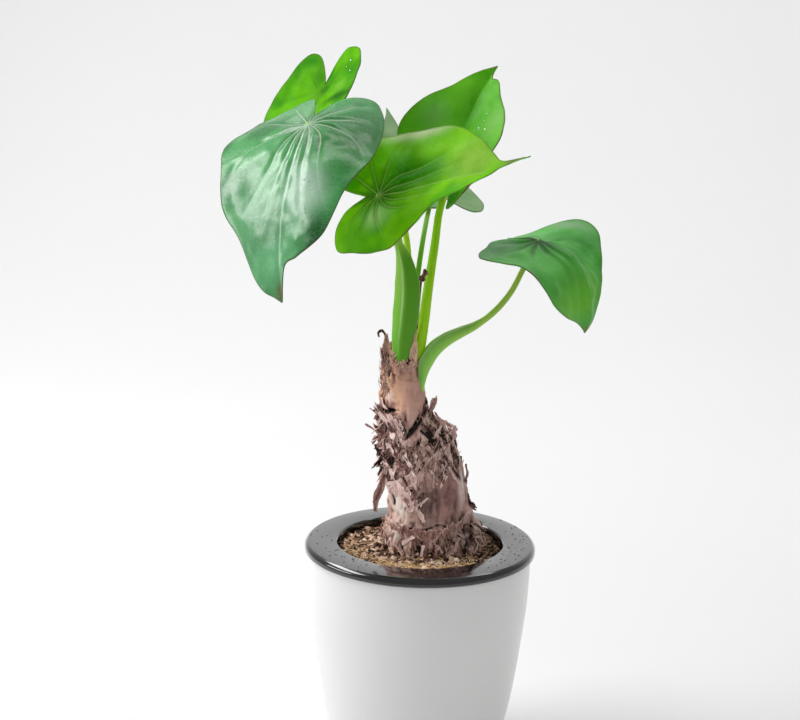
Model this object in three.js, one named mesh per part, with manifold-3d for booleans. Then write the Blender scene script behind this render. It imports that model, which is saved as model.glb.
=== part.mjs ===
// Potted giant taro: a young aroid with six heart-shaped leaves on a thick old
// stem, in a round self-watering pot with a white outside and a black inner pot.
// Millimetres, +Z up. The origin is the centre of the pot's foot, on the table.
// The photo was taken from -Y, so +X is to its right.
import * as THREE from 'three';
import { mergeVertices } from 'three/addons/utils/BufferGeometryUtils.js';
import Module from 'manifold-3d';

const wasm = await Module();
wasm.setup();

// Pot, driving dimensions
const RIM_RADIUS = 80; // outer edge of the black flange
const POT_HEIGHT = 152; // foot to the top of the flange
const FLANGE_THICKNESS = 5.5;
const MOUTH_RADIUS = 57.2; // the opening inside the flange
const FOOT_RADIUS = 50;
const WALL = 2.5;
const LINER_WALL = 2;
const LINER_FLOOR = 42; // underside of the inner pot, above the water
const LINER_FOOT_RADIUS = 45.5;
const SLOT_COUNT = 6;
const SLOT_SIZE = [14, 3.2];
const SLOT_RING = 26;
const WICK_RADIUS = 4;
const WICK_TOP = 78;
const GAP = 0.3; // between pieces that touch
const POT_SIDES = 40;

// Soil and stem, driving dimensions
const SOIL_EDGE = 146; // level at the wall of the pot
const SOIL_MOUND = 3.5; // rise towards the stem
const SOIL_REACH = 48; // how far from the stem the rise starts
const SOIL_CRUMBS = 26;
const SOIL_HOLE = 0.45; // play round what stands in the soil
const STEM_SIDES = 20;
const FLAKE_THICKNESS = 0.9; // half of it
const FLAKE_SINK = 1.6; // how far a husk flake is rooted in the stem
const ROOT_SPREAD = [8, 0]; // the place in the stem that the roots leave from

// Leaves, driving dimensions
const BLADE = 0.8; // thickness
const BLADE_RINGS = 4;
const STEPS_PER_STATION = 2;
const LOBE_SHARE = 0.36; // lobes behind the junction, as a share of the length
const HALF_WIDTH = 0.48; // widest half of the blade, as a share of the length
const SOCKET = 0.5; // play round a leaf stalk in the stem
const RING_SPREAD = 0.85; // below 1, a blade's rings crowd towards its margin
const TROUGH_REST = 0.35; // the share of a trough's depth that lies below the stalk's centre
const STALK_SIDES = 7;
const STALK_STEPS = 14;
const SHEATH_SIDES = 12; // on a stalk with a sheath
const SHEATH_STEPS = 18;

// Half of a flat blade's margin from tip to sinus, in blade lengths: [across, along]
const MARGIN = [
  [0.035, 0.93], [0.12, 0.815], [0.25, 0.66], [0.375, 0.46], [0.455, 0.235], [0.48, 0.03],
  [0.455, -0.155], [0.37, -0.3], [0.25, -0.365], [0.135, -0.335], [0.06, -0.225],
];
const SINUS = [0, -0.09];

// One entry a leaf. junction: where the stalk meets the blade. heading, pitch, roll: the
// way the blade's midrib sets off and leans, in degrees. droop and lobeBend: how far the
// tip and the lobes curl down. fold and cup: each half's angle to the midrib and its own
// curl, [right, left]. twist and pinch: how both change towards the tip. reach: how far
// each margin point stands out against MARGIN. wave: height, count and phase at the edge.
// stalk: from the stem up to the junction. section: [share of the stalk, half width,
// half thickness, depth of the trough], and facing is the side that the trough opens to.
const LEAVES = [
  {
    name: 'leaf_front_left', color: 0x3f8a58,
    junction: [-79, -40, 443.8], length: 127.7, width: 0.91, heading: -109.5, pitch: -28.6, roll: -17,
    droop: 48.7, lobeBend: 13.7, fold: [-4.1, -7.2], cup: [3.7, -56.8], twist: -7.5, pinch: 14.5, drip: 0.03,
    right: [1.08, 1.14, 1.04, 1.07, 1.06, 1.15, 1.02, 0.95, 0.99, 1, 0.96],
    left: [0.92, 1, 1.07, 0.94, 0.93, 0.9, 0.89, 0.93, 0.98, 0.98, 1],
    wave: [1, 5, 0.6], facing: [-1, -0.4, 0.6],
    stalk: [[-14.2, 0, 268], [-14.4, 1, 298], [-15.1, 4, 328], [-18.5, 9, 358], [-25.5, 16, 380],
      [-38.5, 23, 402], [-54, 17, 419], [-67, -1, 433], [-75.5, -25, 441]],
    section: [[0, 2.5, 2.5, 0], [0.6, 2.2, 2.2, 0], [1, 1.8, 1.8, 0]],
  },
  {
    name: 'leaf_back_left', color: 0x66b81e,
    junction: [-74, 48, 454.1], length: 94.5, width: 0.86, heading: -114.4, pitch: -44.5, roll: -4.9,
    droop: -13.5, lobeBend: -19.5, fold: [1.7, 28], cup: [-10.3, 0], twist: -0.8, pinch: -0.9, drip: 0,
    right: [1, 1, 1, 1.01, 1.02, 0.95, 0.89, 0.89, 0.94, 0.98, 1.03],
    left: [1, 1, 1, 1, 1.01, 1.01, 1.04, 1.05, 0.99, 1.01, 1.03],
    wave: [0.8, 4, 2], facing: [-1, 0.3, 0.6],
    stalk: [[-12, 7, 268], [-11.5, 9, 298], [-12, 13, 337], [-14, 19, 359], [-20, 30, 382],
      [-31.5, 46, 408],
      [-49, 58, 431], [-66, 57, 447]],
    section: [[0, 2.4, 2.4, 0], [0.6, 2.2, 2.2, 0], [1, 1.7, 1.7, 0]],
  },
  {
    name: 'leaf_front_centre', color: 0x5faa1c,
    junction: [-33.2, -24, 396.8], length: 104.1, width: 0.89, heading: -32.8, pitch: 13.8, roll: -50.3,
    droop: -10.2, lobeBend: 0, fold: [-3.2, 2.7], cup: [-7.3, 13], twist: 19.7, pinch: 17.9, drip: 0.2,
    right: [1.1, 1.08, 0.8, 0.88, 1.04, 0.97, 0.92, 1, 0.9, 0.82, 0.94],
    left: [1.05, 1.08, 1.14, 1.16, 1, 0.95, 1.02, 1, 1, 1.01, 1.03],
    wave: [1, 4, 1], facing: [0.2, 1, 0],
    stalk: [[-16.5, -8.5, 270], [-16.5, -11, 283], [-16, -13, 297], [-14.5, -14, 314], [-13.8, -13.5, 333],
      [-16, -12, 351], [-19.4, -11, 362], [-24, -12, 374], [-30, -18, 389]],
    section: [[0, 2.6, 2.6, 0], [0.1, 5.6, 2, 2], [0.2, 8.1, 1.5, 4.5], [0.34, 9.5, 1.1, 5.5],
      [0.5, 9, 1.1, 5.5], [0.62, 6, 1.4, 3], [0.7, 3, 2.3, 0.4], [0.78, 2.3, 2.3, 0], [1, 1.8, 1.8, 0]],
  },
  {
    name: 'leaf_back_right', color: 0x4c9c28,
    junction: [16.2, 18, 407.2], length: 80.2, width: 1.06, heading: 47.1, pitch: 75.6, roll: 10.5,
    droop: 29.8, lobeBend: -22.8, fold: [15.9, 24.6], cup: [0, 0], twist: -20.5, pinch: -1.9, drip: 0,
    right: [0.94, 1.04, 1.05, 1.16, 1.26, 1.06, 0.99, 0.98, 1, 1, 1],
    left: [1.03, 1.05, 1.02, 1.12, 1.21, 1.04, 0.96, 0.99, 1, 1, 1],
    wave: [0.8, 4, 0], facing: [0, -1, 0],
    stalk: [[-7.8, -3, 268], [-6.2, -3, 277], [-3.4, -2.8, 291], [1.4, 2, 332.5], [4.9, 9, 358.7],
      [7.6, 17, 380], [11.8, 21, 394]],
    section: [[0, 3, 3, 0], [0.14, 3.7, 3.7, 0], [0.3, 3.7, 3.7, 0], [0.55, 3, 3, 0], [1, 2.1, 2.1, 0]],
  },
  {
    name: 'leaf_right', color: 0x3c8a45,
    junction: [74.8, 0, 365.4], length: 84.2, width: 1.28, heading: -28.9, pitch: -3.1, roll: -8.8,
    droop: 120.3, lobeBend: 0, fold: [-15.4, -30.2], cup: [22.5, 41.9], twist: -13.9, pinch: 6.6, drip: 0,
    right: [1.03, 1.06, 1.11, 1.12, 0.94, 0.91, 1.06, 1, 0.89, 1, 1.01],
    left: [1.04, 0.96, 0.9, 0.91, 1.04, 1.07, 1.02, 0.96, 1.01, 1.08, 1.03],
    wave: [0.8, 4, 3], facing: [-0.75, 0, 0.65],
    stalk: [[-2.6, -4.4, 252], [-1.8, -4.2, 262], [-0.4, -4, 272], [2.4, -3.6, 281], [8.2, -3, 289.4],
      [15.6, -1.5, 295.4], [24.4, 0, 300.2], [34.1, 1, 305.4], [47.4, 2, 316.4], [57.1, 3, 328.8],
      [64, 3, 343], [69.6, 2, 355.4]],
    section: [[0, 1.5, 1.5, 0], [0.08, 2.8, 1.4, 1.5], [0.14, 4.4, 1.2, 4.4], [0.2, 6, 1.1, 8],
      [0.28, 6, 1.1, 7.6], [0.36, 5, 1.2, 6], [0.44, 3.6, 1.5, 3.6], [0.52, 2.4, 1.9, 0.8],
      [0.58, 2.2, 2.2, 0], [1, 1.6, 1.6, 0]],
  },
  {
    name: 'leaf_back', color: 0x6f9a72,
    junction: [4.3, 78, 388.2], length: 86, width: 0.88, heading: 121.7, pitch: 26.3, roll: -13.6,
    droop: -14.9, lobeBend: 0, fold: [-2.7, 0], cup: [8.7, -10], twist: -10.5, pinch: -10.5, drip: 0,
    right: [1.02, 0.93, 0.98, 1, 1, 1.01, 1.03, 1.01, 1, 1, 1.01],
    left: [1, 1, 1, 1, 1, 1, 1, 1, 1, 1, 1],
    wave: [1, 5, 1.4], facing: [0, 1, 0.6],
    stalk: [[-9, 3, 268], [-8.6, 3.5, 297], [-7, 6.5, 328], [-4, 18, 353], [-0.4, 40, 372], [3, 63, 382.8]],
    section: [[0, 2, 2, 0], [0.5, 1.8, 1.8, 0], [1, 1.5, 1.5, 0]],
  },
];

// The stem's rings, bottom to top: [z, centre x, half width x, half width y]
const STEM = [
  [97, 6, 7, 7], [103, 6, 17, 16], [116, 7, 26, 24], [132, 8, 31, 28], [146, 9.5, 35, 31.5],
  [153, 9.4, 36, 32], [160, 8.4, 34.8, 30.6], [165, 7.3, 33, 29.4], [171, 6, 30.6, 28.4],
  [177, 5.5, 29, 27.6], [183, 5, 28.2, 27.2], [189, 4.4, 27.6, 26.8], [195, 3.7, 27.3, 26.5],
  [201, 2.7, 27.2, 26.2],
  [207, 1.3, 27.2, 25.8], [213, 0, 26.8, 25.3], [219, -1.4, 26, 24.6], [225, -2.8, 25, 23.8],
  [231, -4.6, 23.2, 22.4], [236, -7.4, 20.6, 20.4], [241, -10.4, 18.4, 18.4], [246, -12.6, 17, 16.8],
  [252, -14.2, 15.8, 15.6], [258, -15.3, 15, 14.8], [264, -15.8, 14.5, 14.3], [270, -15.9, 14.2, 14],
  [276, -15.9, 13.9, 13.7], [281, -15.7, 13.5, 13.3], [285, -15.6, 12.6, 12.4], [286, -15.6, 10.4, 10.4],
];

// Roots that hold the plant in the soil: [heading in degrees, reach, depth, radius]
const ROOTS = [[-14, 36, 124, 6.5], [62, 34, 112, 5], [140, 34, 118, 5.5], [205, 32, 108, 5],
  [285, 34, 114, 6]];

// Torn remains of old leaf bases with a place of their own: path from base to tip, half
// widths at both, and the side that the flat of it faces
const REMAINS = [
  { path: [[-24.5, -7, 276], [-25.6, -8, 286], [-26.2, -7.5, 293], [-26.2, -7, 299.5]],
    width: [4.6, 1.7], facing: [0, -1, 0] },
  { path: [[-26.4, -7, 297], [-27.6, -7, 300.6], [-29.6, -7, 302.4], [-31.8, -7, 300.6], [-31.2, -7, 298]],
    width: [0.9, 0.7], facing: [0, -1, 0] },
  { path: [[-25, -9, 276], [-27.4, -10, 284], [-28.6, -10.5, 288], [-29.4, -10.5, 291]],
    width: [4, 0.8], facing: [-1, -2, 0] },
  { path: [[-9, -9, 276], [-7.8, -11.2, 286], [-7, -11.6, 296], [-6.4, -11, 304]],
    width: [3.2, 0.7], facing: [0, -1, 0] },
  { path: [[-9.4, 0, 276], [-7.6, -4.2, 290], [-6, -5, 306], [-5, -4.8, 325], [-3.4, -5, 340]],
    width: [1.2, 0.8], facing: [0, -1, 0] },
  { path: [[0, -4, 240], [4.4, -4, 246], [5.8, -4, 250.5], [6.6, -4, 255]],
    width: [6, 3.4], facing: [1, -0.4, 0] },
  { path: [[6, -5, 226], [10, -5.5, 232], [12, -6, 235.5], [13.6, -6, 239]],
    width: [5, 1.5], facing: [1, -1.4, 0] },
  { path: [[16, -4, 223], [19.2, -4.6, 228.5], [20.4, -5, 232.5], [21.4, -5, 236.5]],
    width: [4.6, 1.6], facing: [1, -1.4, 0] },
  { path: [[28, -5, 186], [32.5, -5, 182.6], [35, -5, 180.6], [38, -5, 178]],
    width: [4.2, 0.8], facing: [0, -1, 0] },
  { path: [[-21, -8, 212], [-25.6, -9.4, 202], [-28, -10, 193], [-31, -10, 184.6], [-31.4, -10, 176]],
    width: [4.4, 2.2], facing: [0, -1, 0] },
];

// Rows of torn husk flakes round the stem, between two headings in degrees:
// [count, z, length, half width, lean, way, first heading, last heading]
const HUSKS = [
  [2, 198, 15, 7, 5, -1, 200, 290], [2, 210, 18, 8, 4, 1, 215, 300], [3, 212, 13, 8, 0, 1, 20, 150],
  [3, 225, 14, 7.5, 2, 1, 205, 290], [3, 226, 12, 7, 2, 1, 60, 150], [3, 239, 12, 6, 3, 1, 220, 330],
  [2, 205, 13, 6, 26, 1, 155, 200], [3, 218, 13, 6, 30, 1, 145, 215], [2, 230, 12, 6, 34, -1, 150, 205],
  [3, 241, 12, 5.5, 28, 1, 140, 225], [3, 275, 11, 5, 4, 1, 40, 190],
];

const RAD = Math.PI / 180;
const vec = (p) => new THREE.Vector3(p[0], p[1], p[2]);

// Seeded draws, so that the part is the same each time
function seeded(seed) {
  let state = seed;
  return (low, high) => {
    state = (state * 1664525 + 1013904223) % 4294967296;
    return low + (high - low) * state / 4294967296;
  };
}

function solidOf(geometry) {
  const bare = geometry.clone();
  bare.deleteAttribute('normal');
  bare.deleteAttribute('uv');
  const merged = mergeVertices(bare, 1e-4);
  const vertProperties = new Float32Array(merged.attributes.position.array);
  const triVerts = new Uint32Array(merged.index.array);
  return new wasm.Manifold(new wasm.Mesh({ numProp: 3, vertProperties, triVerts }));
}

function geometryOf(solid) {
  const mesh = solid.getMesh();
  const geometry = new THREE.BufferGeometry();
  geometry.setAttribute('position', new THREE.BufferAttribute(new Float32Array(mesh.vertProperties), 3));
  geometry.setIndex(new THREE.BufferAttribute(new Uint32Array(mesh.triVerts), 1));
  geometry.computeVertexNormals();
  return geometry;
}

// A closed skin over rings of points, capped at both ends, its faces turned outwards
function loft(rings) {
  const sides = rings[0].length;
  const middle = (ring) => ring.reduce((sum, p) => sum.add(p), new THREE.Vector3()).divideScalar(sides);
  const points = rings.flat().concat([middle(rings[0]), middle(rings[rings.length - 1])]);
  const first = rings.length * sides;
  const index = [];
  for (let j = 0; j < sides; j++) {
    const next = (j + 1) % sides;
    for (let i = 0; i < rings.length - 1; i++) {
      const a = i * sides;
      index.push(a + j, a + next, a + sides + j, a + next, a + sides + next, a + sides + j);
    }
    const last = first - sides;
    index.push(first, next, j, first + 1, last + j, last + next);
  }
  return closed(points, index);
}

function closed(points, index) {
  let volume = 0;
  const cross = new THREE.Vector3();
  for (let i = 0; i < index.length; i += 3) {
    cross.crossVectors(points[index[i]], points[index[i + 1]]);
    volume += cross.dot(points[index[i + 2]]);
  }
  const outward = volume > 0 ? index : index.slice().reverse();
  const geometry = new THREE.BufferGeometry().setFromPoints(points);
  geometry.setIndex(outward);
  return geometry;
}

// A stalk, root or flake: sections carried along a curve. section(t) gives half width,
// half thickness and the depth of the trough that opens towards facing. Both ends are
// carried on by extend.
function sweep(points, steps, sides, facing, section, extend) {
  const curve = new THREE.CatmullRomCurve3(points.map(vec), false, 'centripetal');
  const rings = [];
  for (let i = 0; i <= steps; i++) {
    const t = i / steps;
    const tangent = curve.getTangentAt(t);
    const centre = curve.getPointAt(t);
    if (i === 0) centre.addScaledVector(tangent, -extend);
    if (i === steps) centre.addScaledVector(tangent, extend);
    const side = new THREE.Vector3().crossVectors(tangent, facing).normalize();
    const up = new THREE.Vector3().crossVectors(side, tangent).normalize();
    const [width, thickness, trough] = section(t);
    const body = width - thickness;
    const ring = [];
    for (let j = 0; j < sides; j++) {
      const turn = (j + 0.5) * 2 * Math.PI / sides;
      const share = Math.cos(turn);
      const slope = Math.atan2(2 * trough * share, body + 1e-6) * Math.min(1, trough);
      const across = body * share + thickness * (share * Math.cos(slope) - Math.sin(turn) * Math.sin(slope));
      const skin = Math.sin(turn) * Math.cos(slope) + share * Math.sin(slope);
      const lift = trough * (share * share - TROUGH_REST) + thickness * skin;
      ring.push(centre.clone().addScaledVector(side, across).addScaledVector(up, lift));
    }
    rings.push(ring);
  }
  return loft(rings);
}

// Values between two rows of a table whose first column is t
function between(rows, t) {
  let k = 1;
  while (k < rows.length - 1 && rows[k][0] < t) k += 1;
  const share = (t - rows[k - 1][0]) / (rows[k][0] - rows[k - 1][0]);
  return rows[k].slice(1).map((value, i) => THREE.MathUtils.lerp(rows[k - 1][i + 1], value, share));
}

// The blade's flat margin, closed round the junction, in blade lengths
function margin(leaf) {
  const half = (reach) => {
    const points = [[0, 1 + leaf.drip]];
    MARGIN.forEach((p, i) => points.push([p[0] * reach[i], p[1] * reach[i]]));
    points.push(SINUS);
    const curve = new THREE.SplineCurve(points.map((p) => new THREE.Vector2(p[0], p[1])));
    return curve.getPoints((points.length - 1) * STEPS_PER_STATION);
  };
  const right = half(leaf.right);
  const left = half(leaf.left).reverse().slice(1, -1);
  return right.concat(left.map((p) => new THREE.Vector2(-p.x, p.y)));
}

function arc(distance, turn, span) {
  const bend = Math.abs(turn) < 1e-6 ? 1e-6 : turn * RAD / span;
  const angle = bend * distance;
  return [Math.sin(angle) / bend, (1 - Math.cos(angle)) / bend, angle];
}

// A point of the bent blade, from its place on the flat one in blade lengths
function onBlade(leaf, flat) {
  const { length, heading, pitch, roll } = leaf;
  const tip = new THREE.Vector3(Math.cos(pitch * RAD) * Math.cos(heading * RAD),
    Math.cos(pitch * RAD) * Math.sin(heading * RAD), Math.sin(pitch * RAD));
  const level = new THREE.Vector3().crossVectors(tip, new THREE.Vector3(0, 0, 1)).normalize();
  const above = new THREE.Vector3().crossVectors(level, tip);
  const side = level.clone().multiplyScalar(Math.cos(roll * RAD)).addScaledVector(above, Math.sin(roll * RAD));
  const up = above.clone().multiplyScalar(Math.cos(roll * RAD)).addScaledVector(level, -Math.sin(roll * RAD));
  const along = flat.y * length;
  const ahead = () => arc(along, leaf.droop, length);
  const behind = () => arc(-along, leaf.lobeBend, LOBE_SHARE * length);
  const [run, drop, angle] = along < 0 ? behind() : ahead();
  const forward = Math.sign(along);
  const point = vec(leaf.junction).addScaledVector(tip, forward * run).addScaledVector(up, -drop);
  const normal = up.clone().multiplyScalar(Math.cos(angle)).addScaledVector(tip, forward * Math.sin(angle));
  const twist = leaf.twist * RAD * flat.y;
  const sideways = side.clone().multiplyScalar(Math.cos(twist)).addScaledVector(normal, Math.sin(twist));
  const raised = normal.clone().multiplyScalar(Math.cos(twist)).addScaledVector(side, -Math.sin(twist));
  const half = flat.x > 0 ? 0 : 1;
  const reach = Math.abs(flat.x) * leaf.width * length;
  const fold = (leaf.fold[half] + leaf.pinch * flat.y) * RAD;
  const [flatRun, flatRise] = arc(reach, leaf.cup[half], HALF_WIDTH * length);
  const out = flatRun * Math.cos(fold) - flatRise * Math.sin(fold);
  const rise = flatRun * Math.sin(fold) + flatRise * Math.cos(fold);
  return point.addScaledVector(sideways, Math.sign(flat.x) * out).addScaledVector(raised, rise);
}

// The blade: spokes from the junction to the margin, the same triangles on both faces
function bladeGeometry(leaf) {
  const edge = margin(leaf);
  const spokes = edge.length;
  const place = (spoke, share) => {
    const flat = edge[spoke % spokes].clone().multiplyScalar(share);
    return onBlade(leaf, flat);
  };
  const step = 0.02;
  const normalAt = (spoke, share) => {
    const flat = edge[spoke].clone().multiplyScalar(Math.min(share, 0.97));
    const across = onBlade(leaf, flat.clone().add(new THREE.Vector2(flat.x < 0 ? -step : step, 0)));
    const along = onBlade(leaf, flat.clone().add(new THREE.Vector2(0, flat.y < 0 ? -step : step)));
    const here = onBlade(leaf, flat);
    across.sub(here).multiplyScalar(flat.x < 0 ? -1 : 1);
    along.sub(here).multiplyScalar(flat.y < 0 ? -1 : 1);
    return across.cross(along).normalize();
  };
  const [waveHeight, waveCount, wavePhase] = leaf.wave;
  const faces = [1, -1].map((face) => {
    const points = [];
    for (let ring = 1; ring <= BLADE_RINGS; ring++) {
      const share = (ring / BLADE_RINGS) ** RING_SPREAD;
      for (let spoke = 0; spoke < spokes; spoke++) {
        const turn = 2 * Math.PI * spoke / spokes;
        const rise = waveHeight * share ** 3 * Math.sqrt(Math.sin(turn / 2));
        const wave = rise * Math.sin(waveCount * turn + wavePhase);
        const normal = normalAt(spoke, share);
        points.push(place(spoke, share).addScaledVector(normal, wave + face * BLADE / 2));
      }
    }
    points.push(vec(leaf.junction).addScaledVector(normalAt(0, 0.05), face * BLADE / 2));
    return points;
  });
  const size = faces[0].length;
  const index = [];
  for (let spoke = 0; spoke < spokes; spoke++) {
    const next = (spoke + 1) % spokes;
    const triangles = [[size - 1, spoke, next]];
    for (let ring = 0; ring < BLADE_RINGS - 1; ring++) {
      const a = ring * spokes;
      const b = a + spokes;
      triangles.push([a + spoke, b + spoke, b + next], [a + spoke, b + next, a + next]);
    }
    for (const [a, b, c] of triangles) index.push(a, b, c, size + a, size + c, size + b);
    const rim = (BLADE_RINGS - 1) * spokes;
    index.push(rim + spoke, size + rim + spoke, size + rim + next, rim + spoke, size + rim + next, rim + next);
  }
  return closed(faces.flat(), index);
}

function stalkGeometry(leaf, play) {
  const section = (t) => {
    const [width, thickness, trough] = between(leaf.section, t);
    return [width + play, thickness + play, trough];
  };
  const sheathed = leaf.section.some((row) => row[3] > 0);
  const sides = sheathed ? SHEATH_SIDES : STALK_SIDES;
  const steps = sheathed ? SHEATH_STEPS : STALK_STEPS;
  const points = leaf.stalk.concat([leaf.junction]);
  return sweep(points, steps, sides, vec(leaf.facing).normalize(), section, play);
}

function leafGeometry(leaf) {
  return geometryOf(solidOf(bladeGeometry(leaf)).add(solidOf(stalkGeometry(leaf, 0))));
}

// The stem's outside at a height and a heading, with its scars, ridges and old rings
function stemPoint(z, heading, play) {
  const [x, halfX, halfY] = between(STEM, z);
  const ridges = 0.03 * Math.sin(3 * heading + 0.05 * z) + 0.022 * Math.sin(7 * heading - 0.09 * z + 1);
  const rings = 0.014 * Math.sin(0.5 * z + 1.5 * Math.sin(heading + 1));
  const relief = z < 150 ? 0 : ridges + rings;
  const acrossX = halfX * (1 + relief) + play;
  const acrossY = halfY * (1 + relief) + play;
  return new THREE.Vector3(x + acrossX * Math.cos(heading), acrossY * Math.sin(heading), z);
}

function stemBody(play) {
  const rings = [];
  for (const [z] of STEM) {
    const ring = [];
    for (let j = 0; j < STEM_SIDES; j++) ring.push(stemPoint(z, 2 * Math.PI * j / STEM_SIDES, play));
    rings.push(ring);
  }
  if (play > 0) rings[0].forEach((p) => { p.z -= play; });
  return solidOf(loft(rings));
}

function rootSolid(root, play) {
  const [heading, reach, depth, radius] = root;
  const at = (share, z) => {
    const out = reach * share;
    return [ROOT_SPREAD[0] + out * Math.cos(heading * RAD), ROOT_SPREAD[1] + out * Math.sin(heading * RAD), z];
  };
  const points = [at(0.5, 140), at(0.8, 138), at(1, (140 + depth) / 2), at(1.1, depth)];
  const section = (t) => [radius * (1 - 0.75 * t) + play, radius * (1 - 0.75 * t) + play, 0];
  return solidOf(sweep(points, 5, 7, new THREE.Vector3(0, 0, 1), section, play));
}

function flakeSolid(points, width, facing) {
  const section = (t) => [THREE.MathUtils.lerp(width[0], width[1], t), FLAKE_THICKNESS * (1 - 0.2 * t), 0];
  return solidOf(sweep(points, points.length - 1, 4, facing, section, 0));
}

function huskSolids() {
  const draw = seeded(11);
  const flakes = [];
  for (const [count, z, length, width, lean, way, first, last] of HUSKS) {
    for (let i = 0; i < count; i++) {
      const heading = RAD * THREE.MathUtils.lerp(first, last, (i + draw(0.2, 0.8)) / count);
      const start = z + draw(-4, 4);
      const reach = length * draw(0.75, 1.25);
      const out = new THREE.Vector3(Math.cos(heading), Math.sin(heading), 0);
      const curl = draw(-0.05, 0.25);
      const drift = draw(-0.25, 0.25);
      const points = [];
      for (let k = 0; k <= 3; k++) {
        const share = k / 3;
        const away = reach * (Math.sin(lean * RAD) * share + curl * share * share) - FLAKE_SINK;
        const height = start + way * reach * share * Math.cos(lean * RAD);
        const root = stemPoint(start, heading + drift * share, 0);
        points.push([root.x + out.x * away, root.y + out.y * away, height]);
      }
      flakes.push(flakeSolid(points, [width * draw(0.8, 1.2), width * draw(0.25, 0.6)], out));
    }
  }
  return flakes;
}

function stemGeometry() {
  let stem = stemBody(0);
  for (const root of ROOTS) stem = stem.add(rootSolid(root, 0));
  for (const flake of huskSolids()) stem = stem.add(flake);
  for (const { path, width, facing } of REMAINS) {
    stem = stem.add(flakeSolid(path, width, vec(facing).normalize()));
  }
  for (const leaf of LEAVES) stem = stem.subtract(solidOf(stalkGeometry(leaf, SOCKET)));
  const pieces = stem.decompose().sort((a, b) => b.volume() - a.volume());
  return geometryOf(pieces[0]);
}

// The soil: a level, crumbly top that rises to the stem, over the inside of the liner
function linerInside(z) {
  const share = (z - LINER_FLOOR - LINER_WALL) / (POT_HEIGHT - 3 - LINER_FLOOR - LINER_WALL);
  return THREE.MathUtils.lerp(LINER_FOOT_RADIUS - LINER_WALL, MOUTH_RADIUS, share);
}

function soilTop(x, y) {
  const share = Math.min(1, Math.hypot(x - ROOT_SPREAD[0], y - ROOT_SPREAD[1]) / SOIL_REACH);
  const lumpX = Math.sin(0.42 * x + 1.1 * Math.sin(0.3 * y));
  const lumpY = Math.sin(0.37 * y + 0.8 * Math.sin(0.23 * x));
  const grit = 0.45 * Math.sin(1.31 * x + 0.7 * y) * Math.sin(1.13 * y - 0.4 * x);
  return SOIL_EDGE + SOIL_MOUND * (1 - share * share) + 0.7 * lumpX * lumpY + grit;
}

function soilGeometry() {
  const sides = 28;
  const ringAt = (radius, height) => {
    const ring = [];
    for (let j = 0; j < sides; j++) {
      const turn = 2 * Math.PI * j / sides;
      const x = radius * Math.cos(turn);
      const y = radius * Math.sin(turn);
      ring.push(new THREE.Vector3(x, y, height ?? soilTop(x, y)));
    }
    return ring;
  };
  const bottom = LINER_FLOOR + LINER_WALL + GAP;
  const edge = linerInside(SOIL_EDGE - 3) - GAP;
  const rings = [ringAt(linerInside(bottom) - GAP, bottom), ringAt(edge, SOIL_EDGE - 3), ringAt(edge - 0.4)];
  for (const share of [0.93, 0.85, 0.76, 0.66, 0.5, 0.25]) rings.push(ringAt(edge * share));
  let soil = solidOf(loft(rings));
  const draw = seeded(5);
  for (let i = 0; i < SOIL_CRUMBS; i++) {
    const turn = draw(0, 2 * Math.PI);
    const radius = draw(36, 52.5);
    const crumb = new THREE.OctahedronGeometry(draw(1.8, 3), 0);
    const x = radius * Math.cos(turn);
    const y = radius * Math.sin(turn);
    crumb.scale(draw(0.7, 1.5), draw(0.7, 1.2), 0.7);
    crumb.rotateZ(draw(0, Math.PI));
    crumb.translate(x, y, soilTop(x, y) + draw(-0.2, 0.4));
    soil = soil.add(solidOf(crumb));
  }
  const bore = new THREE.CylinderGeometry(WICK_RADIUS + GAP, WICK_RADIUS + GAP, 60, 16);
  bore.rotateX(Math.PI / 2);
  bore.translate(0, 0, WICK_TOP + GAP - 30);
  soil = soil.subtract(solidOf(bore)).subtract(stemBody(SOIL_HOLE));
  for (const root of ROOTS) soil = soil.subtract(rootSolid(root, SOIL_HOLE));
  const pieces = soil.decompose().sort((a, b) => b.volume() - a.volume());
  return geometryOf(pieces[0]);
}

function turned(profile) {
  const geometry = new THREE.LatheGeometry(profile.map((p) => new THREE.Vector2(p[0], p[1])), POT_SIDES);
  geometry.rotateX(Math.PI / 2);
  return geometry;
}

// The white pot: a wall that flares from a rounded foot, open at the top
function potGeometry() {
  const top = POT_HEIGHT - FLANGE_THICKNESS - GAP;
  const outside = [[FOOT_RADIUS, 0], [55, 1.5], [58.6, 6], [62.2, 20], [67, 43], [72, 78], [75.8, 112],
    [77, top]];
  const inside = outside.slice(2).reverse().map(([radius, z]) => [radius - WALL, z]);
  const profile = [[0, 0], ...outside, ...inside, [52, WALL + 0.5], [0, WALL + 0.5]];
  return geometryOf(solidOf(turned(profile)));
}

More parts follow.
